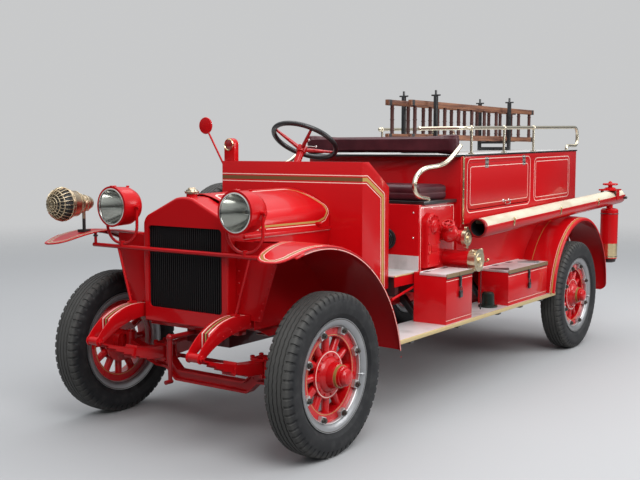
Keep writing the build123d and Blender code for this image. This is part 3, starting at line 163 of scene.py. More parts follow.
def smooth(points, steps=6):
    """A curve through the points: for the run from b to c, with a before it and d after it, it is
    0.5 (2 b + (c - a) t + (2 a - 5 b + 4 c - d) t^2 + (3 b - a - 3 c + d) t^3)."""
    points = np.asarray(points, float)
    ends = np.concatenate([2 * points[:1] - points[1:2], points, 2 * points[-1:] - points[-2:-1]])
    a, b, c, d = (ends[first:last][:, None] for first, last in ((0, -3), (1, -2), (2, -1), (3, None)))
    t = (np.arange(steps) / steps)[None, :, None]
    square, cube = 2 * a - 5 * b + 4 * c - d, 3 * b - a - 3 * c + d
    curve = 0.5 * (2 * b + (c - a) * t + square * t ** 2 + cube * t ** 3)
    return np.concatenate([curve.reshape(-1, 3), points[-1:]])


def circle(radius, sides):
    """Section of a round bar."""
    angle = np.arange(sides) * TURN / sides
    return np.stack([radius * np.cos(angle), radius * np.sin(angle)], axis=1)


def rounded(width, height, edge):
    """Section of a flat bar with rounded edges: corner centre + edge (cos a, sin a)."""
    quarter = np.linspace(0, math.pi / 2, 3)
    angle = np.concatenate([quarter + turn * math.pi / 2 for turn in range(4)])
    signs = np.repeat([(1, 1), (-1, 1), (-1, -1), (1, -1)], len(quarter), axis=0)
    centre = signs * (width / 2 - edge, height / 2 - edge)
    return centre + edge * np.stack([np.cos(angle), np.sin(angle)], axis=1)


def block(low, high, edge=1.5):
    """A box between two corners with rounded edges along X and bevelled ends."""
    low, high = np.minimum(low, high).astype(float), np.maximum(low, high).astype(float)
    size = high - low
    edge = min(edge, size.min() * 0.45)
    middle = (low + high) / 2
    inner = rounded(size[1] - 2 * edge, size[2] - 2 * edge, edge * 0.5)
    full = rounded(size[1], size[2], edge)
    rows = []
    for x, section in ((low[0], inner * 0), (low[0], inner), (low[0] + edge, full), (high[0] - edge, full),
                       (high[0], inner), (high[0], inner * 0)):
        rows.append(np.column_stack([np.full(len(section), x), middle[1] + section[:, 0],
                                     middle[2] + section[:, 1]]))
    return grid(np.stack(rows))


def bar(start, end, width, height, edge=1.0, up=Z):
    """A flat bar from one place to another."""
    return swept(rounded(width, height, edge), [start, end], up)


def pipe(path, radius, up=Z, sides=10):
    """A round bar along a path."""
    return swept(circle(radius, sides), path, up)


def rod(start, end, radius, sides=12):
    """A round bar from one place to another."""
    start, end = np.asarray(start, float), np.asarray(end, float)
    up = Z if abs((end - start)[2]) < 0.9 * np.linalg.norm(end - start) else X
    return pipe([start, end], radius, up, sides)


def ring(centre, axis, radius, thickness, steps=40, sides=10):
    """A round bar bent to a ring about an axis."""
    return turned(circle(thickness, sides) + (radius, 0), centre, axis, steps, loop=True)


def ball(centre, radius, axis=Z):
    """A sphere with a small collar under it: radius cos a, height sin a."""
    angle = np.linspace(-math.pi / 2, math.pi / 2, 11)
    profile = np.stack([radius * np.cos(angle), radius * np.sin(angle)], axis=1)
    collar = [(0, -radius * 1.25), (radius * 0.6, -radius * 1.25), (radius * 0.55, -radius * 0.8)]
    return turned(np.concatenate([collar, profile[2:]]), centre, axis, 20)


def nut(centre, axis, radius, height):
    """A hexagon nut with a domed top, standing on its centre."""
    profile = [(0, 0), (radius, 0), (radius, height * 0.8), (radius * 0.8, height), (0, height)]
    return turned(profile, centre, axis, steps=6)


def rivet(centre, axis, radius):
    """A round head: radius cos a, height sin a."""
    angle = np.linspace(0, math.pi / 2, 4)
    profile = np.stack([radius * np.cos(angle), radius * 0.6 * np.sin(angle)], axis=1)
    return turned(profile, centre, axis, steps=8)


def merged(shapes):
    """A list of shapes, or of such lists, as one shape; a single shape stays as it is."""
    if isinstance(shapes, tuple):
        return shapes
    shapes = [merged(shape) for shape in shapes]
    starts = np.cumsum([0] + [len(points) for points, _ in shapes[:-1]])
    corners = np.concatenate([points for points, _ in shapes])
    return corners, np.concatenate([faces + start for (_, faces), start in zip(shapes, starts)])


def spun(shape, centre, axis, angle):
    """The shape turned about an axis through a centre."""
    points, faces = merged(shape)
    turn = np.array(Matrix.Rotation(angle, 3, Vector(axis)))
    return (points - centre) @ turn.T + centre, faces


def around(shape, centre, axis, count, start=0.0):
    """The shape turned about an axis to evenly spaced places."""
    centre = np.asarray(centre, float)
    return merged([spun(shape, centre, axis, start + number * TURN / count) for number in range(count)])


def on_side(shape, side):
    """The shape as it is for side 1. For side -1, the vehicle's right, y changes sign and the quads
    turn over."""
    points, faces = merged(shape)
    return points * (1, side, 1), faces[:, ::side]


def both(shape):
    return merged([shape, on_side(shape, -1)])


# Pieces

def new_object(name, data):
    thing = bpy.data.objects.new(name, data)
    scene.collection.objects.link(thing)
    return thing


def read(mesh, key="co"):
    """Places of a mesh's vertices, or their normals, one row each."""
    values = np.empty(len(mesh.vertices) * 3, np.float32)
    mesh.vertices.foreach_get(key, values)
    return values.reshape(-1, 3).astype(float)


def piece(name, shape, material, body="chassis", sharp=35):
    """A mesh object at the origin that rides on a body, with its normals outwards."""
    points, faces = merged(shape)
    mesh = bpy.data.meshes.new(name)
    mesh.from_pydata((points * 0.001 + (axle_x, 0, 0)).tolist(), [], faces.tolist())
    work = bmesh.new()
    work.from_mesh(mesh)
    bmesh.ops.remove_doubles(work, verts=work.verts, dist=1e-6)
    bmesh.ops.recalc_face_normals(work, faces=work.faces)
    work.to_mesh(mesh)
    work.free()
    mesh.shade_smooth()
    mesh.set_sharp_from_angle(angle=math.radians(sharp))
    mesh.materials.append(material)
    thing = new_object(name, mesh)
    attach(thing, body)
    return thing


def modify(thing, kind, **settings):
    modifier = thing.modifiers.new(kind.lower(), kind)
    for key, value in settings.items():
        setattr(modifier, key, value)
    return modifier


def dress(names, material, bevel=0.0):
    """Smooths the CAD nodes named, softens their edges if asked, and gives them a material."""
    for name in names.split():
        thing = nodes[name]
        thing.data.materials.clear()
        thing.data.materials.append(material)
        thing.data.shade_smooth()
        modify(thing, "WELD", merge_threshold=1e-5)
        if bevel:
            modify(thing, "BEVEL", width=bevel, segments=2, limit_method="ANGLE",
                   angle_limit=math.radians(50), harden_normals=False)
        modify(thing, "EDGE_SPLIT", split_angle=math.radians(35))


# Shader maths

def operator(operation):
    """A method that joins a field to another one, or to a number, by a Math node."""
    return lambda field, other: field.math(operation, other)


class Field:
    """A number over a surface: each operator adds a Math node to the material."""

    def __init__(self, shader, socket):
        self.shader = shader
        self.socket = socket

    def math(self, operation, *others):
        node = self.shader.add("ShaderNodeMath", {"operation": operation}, dict(enumerate((self, *others))))
        return Field(self.shader, node.outputs[0])

    __add__ = __radd__ = operator("ADD")
    __sub__ = operator("SUBTRACT")
    __mul__ = __rmul__ = operator("MULTIPLY")
    __truediv__ = operator("DIVIDE")
    __lt__ = operator("LESS_THAN")
    __gt__ = operator("GREATER_THAN")
    __or__ = operator("MAXIMUM")
    __and__ = operator("MINIMUM")

    def __rsub__(self, other):
        return self * -1.0 + other

    def __abs__(self):
        return self.math("ABSOLUTE")

    def root(self):
        return self.math("SQRT")

    def near(self, place, width):
        """1 in a band of that width about a value."""
        return abs(self - place) < width / 2

    def ramp(self, low, high):
        """0 below low, 1 above high, and a smooth step between."""
        node = self.shader.add("ShaderNodeMapRange", {"interpolation_type": "SMOOTHSTEP"},
                               {"Value": self, "From Min": low, "From Max": high})
        return Field(self.shader, node.outputs[0])


class Nodes:
    """A node tree under construction."""

    def __init__(self, tree):
        self.nodes = tree.nodes
        self.links = tree.links

    def add(self, kind, settings=None, inputs=None):
        """A node: its settings first, then the values or links of its sockets."""
        node = self.nodes.new(kind)
        for key, value in (settings or {}).items():
            setattr(node, key, value)
        for key, value in (inputs or {}).items():
            self.feed(node.inputs[key], value)
        return node

    def feed(self, socket, value):
        if isinstance(value, Field):
            value = value.socket
        if isinstance(value, bpy.types.NodeSocket):
            self.links.new(value, socket)
        else:
            socket.default_value = (*value, 1) if socket.type == "RGBA" else value


class Shader(Nodes):
    """A material under construction. Places are read from Object coordinates, in metres."""

    def __init__(self, name, **constants):
        self.material = bpy.data.materials.new(name)
        self.material.use_nodes = True
        super().__init__(self.material.node_tree)
        for socket, value in constants.items():
            self.set(socket.replace("_", " "), value)

    def set(self, name, value):
        """Gives a socket of the surface a value or a link."""
        self.feed(self.nodes["Principled BSDF"].inputs[name], value)

    def places(self):
        """Millimetres from the ground under the front axle, as three fields."""
        where = self.add("ShaderNodeTexCoord").outputs["Object"]
        split = self.add("ShaderNodeSeparateXYZ", inputs={0: where})
        x, y, z = (Field(self, output) for output in split.outputs)
        return (x - axle_x) * 1000, y * 1000, z * 1000

    def noise(self, scale, detail, stretch=(1, 1, 1)):
        """Smooth noise from 0 to 1, scale in waves a metre, stretched along the axes."""
        where = self.add("ShaderNodeTexCoord").outputs["Object"]
        place = self.add("ShaderNodeMapping", inputs={"Vector": where, "Scale": stretch}).outputs[0]
        node = self.add("ShaderNodeTexNoise", inputs={"Vector": place, "Scale": scale, "Detail": detail})
        return Field(self, node.outputs["Fac"])

    def mix(self, mask, first, second):
        """The first colour where the mask is 0 and the second where it is 1."""
        node = self.add("ShaderNodeMix", {"data_type": "RGBA"}, {"Factor": mask})
        a, b = [socket for socket in node.inputs if socket.type == "RGBA"]
        self.feed(a, first)
        self.feed(b, second)
        return [socket for socket in node.outputs if socket.type == "RGBA"][0]

    def paint(self, base, coats):
        """The base colour under painted coats, each a mask and a colour."""
        for mask, colour in coats:
            base = self.mix(mask, base, colour)
        return base

    def bump(self, height, strength, distance):
        inputs = {"Strength": strength, "Distance": distance, "Height": height}
        self.set("Normal", self.add("ShaderNodeBump", inputs=inputs).outputs[0])

    def finish(self, colour=None, roughness=None, metallic=None):
        for name, value in (("Base Color", colour), ("Roughness", roughness), ("Metallic", metallic)):
            if value is not None:
                self.set(name, value)
        return self.material


def length(u, v):
    """Length of a flat offset."""
    return (u * u + v * v).root()


def distance(u, v, route):
    """Distance from (u, v) to a route of straight runs: the least over its runs of the distance to the
    nearest place on the run, which is the start plus the run times a share clamped to 0..1."""
    least = None
    for (u0, v0), (u1, v1) in zip(route[:-1], route[1:]):
        du, dv = u1 - u0, v1 - v0
        share = (((u - u0) * du + (v - v0) * dv) / (du * du + dv * dv) & 1.0) | 0.0
        away = length(u - u0 - share * du, v - v0 - share * dv)
        least = away if least is None else least & away
    return least


def frame_edge(u, v, centre, half, radius):
    """Signed distance to a rounded rectangle: length of the part outside its corners, less the radius."""
    out_u = abs(u - centre[0]) - (half[0] - radius)
    out_v = abs(v - centre[1]) - (half[1] - radius)
    return length(out_u | 0.0, out_v | 0.0) + ((out_u | out_v) & 0.0) - radius


# Colours, as linear red, green and blue
RED = (0.58, 0.004, 0.007)
DEEP_RED = (0.40, 0.004, 0.007)
DARK_RED = (0.12, 0.004, 0.005)
WHITE_LINE = (0.90, 0.66, 0.58)
GOLD = (0.33, 0.20, 0.06)
PALE_GOLD = (0.50, 0.34, 0.10)
BLACK = (0.012, 0.012, 0.013)
BRASS = (0.83, 0.66, 0.38)
NICKEL = (0.72, 0.70, 0.66)
EDGING = (0.66, 0.52, 0.27)
DECK_METAL = (0.80, 0.80, 0.79)


def enamel(name, stripes=None, colour=RED, deep=DEEP_RED, bare=None, coat=0.35):
    """Deep glossy coach enamel, a little darker and duller in patches, with painted lines. Bare gives a
    mask, a colour and a roughness for what is left unpainted on the same piece."""
    shader = Shader(name, Coat_Roughness=0.05, Coat_Weight=coat, Specular_IOR_Level=0.15)
    x, y, z = shader.places()
    patches = shader.noise(1.6, 4.0)
    dirt = (1 - z.ramp(150, 650)) * shader.noise(14, 5.0)
    base = shader.mix(patches * 0.3 + dirt * 0.5, colour, deep)
    rough = patches * 0.12 + dirt * 0.25 + 0.24
    base = shader.paint(base, stripes(x, y, z) if stripes else ())
    shader.bump(shader.noise(260, 1.0), 0.03, 0.0006)
    if bare is None:
        return shader.finish(base, rough)
    mask, metal_colour, gloss = bare(x, y, z)
    base = shader.mix(mask, base, metal_colour)
    return shader.finish(base, rough * (1 - mask) + mask * gloss, mask)


def scuttle_stripes(x, y, z):
    """Gold between two white lines: along the front, down the corner and down the sides. Where it faces
    forward the gold is darker, as painted shade."""
    away = distance(x, z, [(-600, 1340), (-722, 1340), (-891, 1242), (-897, 560)])
    gold = away < 11
    ahead = x > scuttle_front_x - 3
    # The darker gold on the forward face is painted shade.
    return [(gold, PALE_GOLD), (gold & ahead, (0.16, 0.085, 0.03)), (abs(away - 21) < 2.4, WHITE_LINE)]


def bonnet_stripes(x, y, z):
    """A gold line with a white one outside it, round the panel of each bonnet half. The second
    coordinate is the way down from the crest, across the top and then down the side."""
    down = abs(y) + ((1190 - z) | 0.0)
    route = [(46, 372), (-560, 377), (-622, 360), (-650, 328), (-654, 283), (-645, 232), (-616, 95),
             (-598, 66), (-570, 50), (-300, 44), (10, 50), (38, 68), (46, 96), (46, 372)]
    away = distance(x, down, route)
    upper = (x > -585) & (down < 120)
    outside = (down > 372) | (x < -640) | (down - 360 > (x + 622) * 1.143)
    white = ((abs(away - 15) < 2.2) & outside) | (upper & (away < 6.5))
    return [((away < 5.5) & (1 - upper), PALE_GOLD), (white, WHITE_LINE)]


def front_wing_stripes(x, y, z):
    """A line round the leaf in gold, which turns white along the arch, with a second one beside it.
    On the arch's rolled edge a dark band of painted shade lies above a white line.
    """
    side = abs(y)
    route = [(60, 615), (200, 625), (340, 649), (403, 662), (441, 697), (457, 735), (445, 772), (399, 793),
             (331, 800), (244, 804), (100, 815), (-700, 820)]
    away = distance(x, side, route)
    ahead = x > 150
    arch = wing_r - length(x - wing_centre[0], z - wing_centre[1])
    roll = (side > 812) & (x < 300)
    beside = (away < 2.8) & (1 - ahead) | ((abs(away - 10) < 1.8) & ahead)
    # The dark band on the arch's roll is painted shade of the lip's side face; a white line is painted under
    # it.
    return [((away < 5.5) & ahead, GOLD), (beside, WHITE_LINE),
            (arch.near(14.5, 4) & roll, (0.12, 0.002, 0.004)), (arch.near(23, 3.4) & roll, WHITE_LINE)]


def rear_wing_stripes(x, y, z):
    side = abs(y)
    ahead = x > rear_wing_centre[0] - 60
    return [(side.near(812, 9) & ahead, PALE_GOLD), (side.near(801, 3) & ahead, WHITE_LINE),
            (side.near(632, 4) & ahead, PALE_GOLD)]


def iron_stripes(x, y, z):
    """A long white frame with a gold middle on top of each dumb iron."""
    side = abs(y) - rail_y
    away = frame_edge(x, side, (318, 0), (146, 22), 4)
    middle = (z > 560) & (abs(x - 325) < 132)
    return [((abs(side) < 8.5) & middle, BLACK), ((abs(side) < 3.6) & middle, PALE_GOLD),
            ((abs(away) < 3.4) & (z > 560), WHITE_LINE)]


def panel_lines(x, z, middle, across, height):
    """Two white lines in the shape of a rounded panel, parallel to the body's sloping top edge."""
    slope = 0.018
    away = frame_edge(x, z + (x - middle[0]) * slope, middle, (across / 2, height / 2), 46)
    return abs(away) < 2.6, abs(away + 26) < 2.2


def body_stripes(x, y, z):
    outer, inner = panel_lines(x, z, (-3218, 1298), 700, 316)
    side = abs(y) > body_half_width - 2
    rim, _ = panel_lines(x, z, (-2288, 1282), 1012, 346)
    return [((outer | inner | rim) & side, WHITE_LINE)]


def box_stripes(x, y, z):
    """A line under the lid and one above the foot of every tool box."""
    front = x > -1600
    line = (z.near(737, 3.2) & front) | (z.near(674, 3.2) & (1 - front)) | z.near(503, 3)
    return [(line & (abs(y) > 784), WHITE_LINE)]


def siren_black(x, y, z):
    """Black on the bracket and on the dome under the guard; on the dome the black is painted shade, the dark
    inside of the siren seen between the guard's bars.
    """
    away = length(y - siren_place[1], z - siren_place[2])
    # On the dome this black is painted shade of the siren's inside, seen between the guard's bars.
    return [((z < 1128) | ((x > 405) & (away < 87)), BLACK)]


def pump_metal(x, y, z):
    """Brass caps of the suction inlet and the delivery valve."""
    inlet = (length(x - suction_place[0], z - suction_place[1]) < 92) & (y > 735)
    outlet = (length(x - valve_place[0], z - valve_place[1]) < 76) & (y > 690)
    return inlet | outlet, (0.60, 0.50, 0.34), 0.28


def metal(name, colour, rough, deep=None, scratch=0.15, black=None, grain=0.03):
    """Bare metal: tarnish in patches, fine scratches that vary the roughness."""
    shader = Shader(name)
    patches = shader.noise(9, 5.0)
    fine = shader.noise(90, 3.0)
    dark = deep or [c * 0.55 for c in colour]
    base = shader.mix(patches.ramp(0.45, 0.8) * 0.35, colour, dark)
    shader.bump(fine, grain, 0.0003)
    rough = patches * 0.12 + fine * scratch + rough
    if black is None:
        return shader.finish(base, rough, 1.0)
    (mask, paint), = black(*shader.places())
    return shader.finish(shader.mix(mask, base, paint), rough + mask * 0.2, 1 - mask)


def plate(name, colour, rough, trim, ribs=0.0):
    """Aluminium sheet, scuffed where feet go, with the painted coats that trim gives. Ribs is the pitch
    of its lengthwise ribs."""
    shader = Shader(name, Metallic=0.6)
    x, y, z = shader.places()
    scuffs = shader.noise(6, 6.0)
    fine = shader.noise(70, 4.0, (1, 8, 8))
    base = shader.mix(scuffs.ramp(0.5, 0.75) * 0.5, colour, (0.36, 0.35, 0.33))
    rough = scuffs * 0.2 + fine * 0.1 + rough
    height = fine * 0.3
    if ribs:
        height = height + (y * (TURN / ribs)).math("SINE")
    shader.bump(height, 0.25, 0.0008)
    return shader.finish(shader.paint(base, trim(x, y, z)), rough)


def lid_edge(x, y, z):
    """Brown edging of the lid, and its black hasp."""
    edge = abs(y) > 784.5
    low = ((z < 758) & (x > -1600)) | ((z < 693) & (x < -1600))
    return [(edge, (0.26, 0.18, 0.10)), (edge & low, (0.03, 0.03, 0.03))]


def rubber(name):
    """Matt rubber, greyer with dust on the tread."""
    shader = Shader(name, Specular_IOR_Level=0.3)
    dust = shader.noise(24, 6.0)
    tread = Field(shader, shader.add("ShaderNodeAttribute", {"attribute_name": "tread"}).outputs["Fac"])
    base = shader.mix(dust.ramp(0.4, 0.8), (0.012, 0.0125, 0.014), (0.034, 0.034, 0.035))
    base = shader.mix(tread * (dust * 0.4 + 0.6), base, (0.085, 0.083, 0.078))
    shader.bump(shader.noise(420, 2.0), 0.12, 0.0004)
    return shader.finish(base, dust * 0.2 + 0.5)


def wheel_paint(name, place, reach):
    """Red spokes and hub, a silver rim and clamps with dull nuts, a white ring on the hub flange, a
    gold one on the cap and a fine gold one on the felloe."""
    shader = Shader(name, Coat_Roughness=0.05, Specular_IOR_Level=0.25)
    x, y, z = shader.places()
    away = length(x - place[0], z - place[2])
    out = abs(y - place[1])
    patches = shader.noise(12, 4.0)
    lugs = (away > 203) & (out > 30.6) & (away < 242)
    silver = (away > 237) | lugs
    nuts = lugs & (out > 50.4)
    pale = shader.mix(patches, (0.40, 0.41, 0.42), (0.26, 0.26, 0.27))
    base = shader.paint(shader.mix(patches * 0.4, RED, DEEP_RED), [
        (away.near(113, 4) & out.near(24, 6), WHITE_LINE), (away.near(197, 2.8) & (out > 29), PALE_GOLD),
        (out.near(reach - 52.5, 14) & (away < 59), GOLD), (silver, pale), (lugs, (0.60, 0.60, 0.60)),
        (nuts | away.near(276, 4), (0.10, 0.09, 0.08))])
    shader.bump(shader.noise(220, 2.0), 0.05, 0.0006)
    shader.set("Coat Weight", (1 - silver) * 0.5)
    return shader.finish(base, silver * 0.14 + patches * 0.1 + 0.22, silver * 0.8)


def steering_paint(name):
    """Black wound grip on the rim, red spider: the rim is what lies far from the column's line."""
    shader = Shader(name, Coat_Weight=0.4)
    x, y, z = shader.places()
    tilt = math.radians(column_tilt_deg)
    u, v, w = x - steering_centre[0], y - steering_centre[1], z - steering_centre[2]
    along = u * math.sin(tilt) - w * math.cos(tilt)
    across = u * math.cos(tilt) + w * math.sin(tilt)
    grip = length(across, v) > 194
    turn = across.math("ARCTAN2", v)
    base = shader.mix(grip, shader.mix(shader.noise(9, 4.0) * 0.4, RED, DEEP_RED), BLACK)
    shader.bump((turn * 96 + along * 0.2).math("SINE") * grip + shader.noise(200, 2.0) * 0.4, 0.3, 0.001)
    return shader.finish(base, grip * 0.12 + shader.noise(20, 3.0) * 0.1 + 0.22)


def leather(name, seam):
    """Maroon hide: fine pebbled grain, worn paler and smoother in patches, with stitches above and below
    the seam that runs at that height."""
    shader = Shader(name, Specular_IOR_Level=0.4)
    x, y, z = shader.places()
    cells = shader.add("ShaderNodeTexVoronoi", {"feature": "SMOOTH_F1"},
                       {"Vector": shader.add("ShaderNodeTexCoord").outputs["Object"], "Scale": 330.0})
    grain = Field(shader, cells.outputs["Distance"])
    wear = shader.noise(7, 5.0)
    base = shader.mix(wear.ramp(0.35, 0.75), (0.048, 0.006, 0.011), (0.085, 0.013, 0.020))
    height = grain + shader.noise(40, 3.0) * 0.6
    dashes = ((x + y) * (TURN / 9)).math("SINE") > -0.2
    stitches = (z.near(seam + 5, 1.8) | z.near(seam - 5, 1.8)) & dashes
    base = shader.mix(stitches, base, (0.13, 0.035, 0.04))
    shader.bump(height + stitches * 2 - z.near(seam, 2.5) * 2, 0.25, 0.0008)
    return shader.finish(base, wear * 0.2 + grain * 0.1 + 0.30)


def wood(name, colour, dark):
    """Oiled wood: long fibres along the stiles, and darker rungs turned from another timber."""
    shader = Shader(name, Specular_IOR_Level=0.4)
    z = shader.places()[2]
    grain = shader.noise(26, 6.0, (0.12, 2.2, 2.2))
    fine = shader.noise(120, 4.0, (0.08, 2.0, 2.0))
    base = shader.mix(grain.ramp(0.35, 0.7), colour, dark)
    rungs = z.near(1715, 193)
    upright = shader.noise(60, 5.0, (2.0, 2.0, 0.15))
    base = shader.mix(rungs, base, shader.mix(upright, (0.10, 0.030, 0.022), (0.045, 0.016, 0.014)))
    shader.bump(fine, 0.2, 0.0006)
    return shader.finish(base, fine * 0.2 + 0.42)


def canvas(name):
    """Cream rubbered canvas of a suction hose, worn and soiled on its high places; black inside its bore
    and red on its thick mouth."""
    shader = Shader(name)
    x, y, z = shader.places()
    weave = shader.noise(300, 2.0)
    soil = shader.noise(11, 6.0, (0.4, 1, 1))
    base = shader.mix(soil.ramp(0.4, 0.75), (0.70, 0.64, 0.50), (0.54, 0.46, 0.33))
    away = length(abs(y) - trough_y, z - trough_front[1])
    mouth = x > trough_front[0] - 24
    bore = (x > trough_front[0] - 235) & (away < hose_mouth_r + 1)
    base = shader.paint(base, [(mouth, DEEP_RED), (bore, BLACK)])
    shader.bump((x * (TURN / 26)).math("SINE") * 0.7 + weave * 0.3, 0.4, 0.0012)
    return shader.finish(base, soil * 0.2 + 0.45)


def painted(name, colour, rough, metallic=0.0, coat=0.0):
    """Plain paint with brushed patches and fine grain."""
    shader = Shader(name, Metallic=metallic, Coat_Weight=coat)
    patches = shader.noise(12, 5.0)
    base = shader.mix(patches.ramp(0.45, 0.85) * 0.5, colour, [min(1.0, c * 1.8 + 0.01) for c in colour])
    shader.bump(shader.noise(200, 3.0), 0.1, 0.0005)
    return shader.finish(base, patches * 0.2 + rough)


def core(name):
    """Black radiator core: a fine mesh of square cells between the fins."""
    shader = Shader(name, Specular_IOR_Level=0.3)
    _, y, z = shader.places()
    mesh = (y * (TURN / 7)).math("SINE") * (z * (TURN / 7)).math("SINE")
    shader.bump(mesh, 0.5, 0.0012)
    base = shader.mix(mesh.ramp(-0.6, 0.9), (0.004, 0.004, 0.005), (0.016, 0.015, 0.015))
    return shader.finish(base, shader.noise(20, 3.0) * 0.2 + 0.4)


def glass(name):
    """Lamp glass with faint upright flutes."""
    shader = Shader(name, Transmission_Weight=1.0, IOR=1.18)
    y = shader.places()[1]
    shader.bump((y * (TURN / 13)).math("SINE"), 0.25, 0.0008)
    return shader.finish((0.95, 0.96, 0.95), shader.noise(30, 4.0) * 0.12 + 0.04)


red = enamel("red enamel")
black = painted("black paint", BLACK, 0.28, coat=0.5)
iron = painted("dull iron", (0.05, 0.05, 0.052), 0.5, 0.6)
brass = metal("polished brass", BRASS, 0.10, (0.52, 0.34, 0.13))
antique = metal("antique brass", (0.50, 0.40, 0.28), 0.18, (0.24, 0.17, 0.10), black=siren_black)
dull_brass = metal("dull brass", (0.60, 0.50, 0.34), 0.22, (0.34, 0.24, 0.13))
nickel = metal("bright nickel", NICKEL, 0.08)
steel = metal("bare steel", (0.42, 0.42, 0.43), 0.28)
tyre_rubber = rubber("tyre rubber")

dress("chassis_rails", enamel("dumb iron enamel", iron_stripes), 0.002)
dress("cross_members lower_body tow_eye tie_rod", red, 0.0015)
dress("valances", enamel("valance enamel", coat=0.1), 0.0015)
dress("board_brackets", black, 0.002)
dress("leaf_springs front_axle knuckle_left knuckle_right rear_axle", red)
dress("starting_crank", enamel("crank enamel", None, (0.30, 0.006, 0.008), DARK_RED))
dress("engine_block", enamel("engine enamel", None, (0.10, 0.004, 0.005), (0.04, 0.003, 0.004)), 0.006)
dress("radiator_shell", enamel(
    "radiator enamel", bare=lambda x, y, z: ((z > 1277) & (x < 200), (0.46, 0.40, 0.29), 0.3)))
dress("radiator_core", core("radiator black"))
dress("bonnet_left bonnet_right", enamel("bonnet enamel", bonnet_stripes))
dress("engine_sides", enamel("engine side enamel",
                             lambda x, y, z: [(z.near(1053, 6) & (abs(y) > 288), WHITE_LINE)]), 0.001)
dress("front_wings", enamel("front wing enamel", front_wing_stripes))
dress("rear_wings", enamel("rear wing enamel", rear_wing_stripes))
dress("scuttle", enamel("scuttle enamel", scuttle_stripes), 0.003)
dress("body_panels", enamel("body enamel", body_stripes), 0.0025)
dress("flap_left flap_right", enamel("flap enamel", lambda x, y, z: [
    (panel_lines(x, z, (-2288, 1281), 975, 300)[1], WHITE_LINE)]), 0.002)
dress("seat_box", enamel("seat box enamel", lambda x, y, z: [
    ((abs(frame_edge(x, z, (-1472, 930), (212, 228), 8)) < 2.4) & (abs(y) > 553), WHITE_LINE)]), 0.002)
dress("running_boards", plate("scuffed aluminium", (0.76, 0.76, 0.75), 0.34,
                              lambda x, y, z: [(abs(y) > 797, EDGING)], 11.0), 0.0015)
dress("cab_floor", plate("floor aluminium", (0.72, 0.72, 0.71), 0.3,
                         lambda x, y, z: [((abs(y) > 550) & (z < 780), EDGING)], 11.0), 0.0015)
dress("lid_front_left lid_rear_left lid_rear_right", plate("lid aluminium", DECK_METAL, 0.3, lid_edge), 0.002)
dress("body_deck", plate("deck aluminium", DECK_METAL, 0.24, lambda x, y, z: [
    ((abs(y) > 588) | (x > body_front_x - 30), (0.015, 0.015, 0.016))]), 0.002)
dress("tool_boxes", enamel("tool box enamel", box_stripes), 0.002)
dress("seat_boards ladder_gallows", black, 0.002)
dress("steering_column", red)
dress("hose_troughs", red, 0.001)
dress("suction_hoses", canvas("hose canvas"))
dress("handrails", metal("rail brass", (0.76, 0.69, 0.54), 0.16, (0.50, 0.40, 0.24), 0.04, grain=0.004))
dress("ladders", wood("oiled wood", (0.27, 0.115, 0.060), (0.10, 0.036, 0.024)), 0.004)
dress("lamps", red)
dress("lamp_glasses", glass("lamp glass"))
dress("siren", antique)
dress("cab_fittings", enamel("fitting enamel", lambda x, y, z: [(x < -1100, BLACK)]), 0.002)
dress("rear_fittings", enamel(
    "bottle enamel", lambda x, y, z: [((z < 604) | (z > 1248), (0.02, 0.012, 0.012))],
    bare=lambda x, y, z: (z.near(670, 119) & (x < -4000), BRASS, 0.25)))
dress("pump_fittings", enamel(
    "pump enamel", lambda x, y, z: [(x < -1850, (0.010, 0.016, 0.012))], bare=pump_metal))
dress("steering_wheel", steering_paint("steering wheel paint"))


# Wheels and tyres

def tyre_shape():
    """Tyre round the Y axis: radius R(row) less the depth of the grooves round the tread, and between
    the blocks of the shoulder less the depth of the slots. A zigzag moves the grooves sideways."""
    # Columns: width, radius, slot in, slot down, groove, zigzag; what a row leaves out is 0
    rows = [(59, 262), (59, 283), (66.5, 290), (74, 302), (76.5, 305), (77, 309), (79, 318), (81.4, 334),
            (81.8, 346), (80.5, 360), (78.8, 368), (78, 371, 4, 1), (73, 388, 4, 4), (65, 399.5, 2, 6),
            (58, 403, 0, 6), (47, 404.5, 0, 6), (45.5, 404.8, 0, 0, 0, 0.4), (39.5, 405.3, 0, 0, 0, 1),
            (38, 405.4, 0, 0, 7, 1), (33.8, 405.6, 0, 0, 7, 1), (32.3, 405.8, 0, 0, 0, 1),
            (16, 406.7, 0, 0, 0, 1), (14.5, 406.7, 0, 0, 7, 1), (10.3, 406.8, 0, 0, 7, 1),
            (8.8, 406.9, 0, 0, 0, 1), (0, 407)]
    half = np.array([row + (0,) * (6 - len(row)) for row in rows], float)
    far = half[-2::-1] * (-1, 1, -1, 1, 1, 1)
    width, radius, slot_in, slot_down, groove, zigzag = np.concatenate([half, far]).T[:, :, None]
    phase = np.array([0, 0.07, 0.30, 0.37, 0.55, 0.72, 0.88])
    slot = np.tile([0, 1, 1, 0, 0, 0, 0], 60)[None]
    angle = (np.arange(60)[:, None] + phase[None]).ravel()[None] * TURN / 60
    wave = 1.5 * (2 * np.abs(2 * ((angle * 60 / TURN) % 1) - 1) - 1)
    r = radius - slot * slot_down - groove
    y = width - slot * slot_in + wave * zigzag
    points = np.stack([r * np.cos(angle), y + 0 * angle, r * np.sin(angle)], axis=-1)
    return grid(points, wrap_rows=True)


def hub_bolts():
    """Nuts round the hub flange, and the tyre's valve in the rim."""
    bolts = around(nut((101, 25.4, 0), Y, 7, 6), (0, 0, 0), Y, 12, 0.13)
    valve = [rod((-226, 44, -36), (-250, 66, -40), 4.5), rod((-250, 66, -40), (-256, 71, -41), 3, 8),
             nut((-240, 57, -38.4), (-24, 22, -4), 8, 5)]
    return bolts, valve


def set_at(shape, place, side):
    """A wheel's piece in its place, mirrored on the vehicle's right."""
    points, faces = on_side(shape, side)
    return points + place, faces


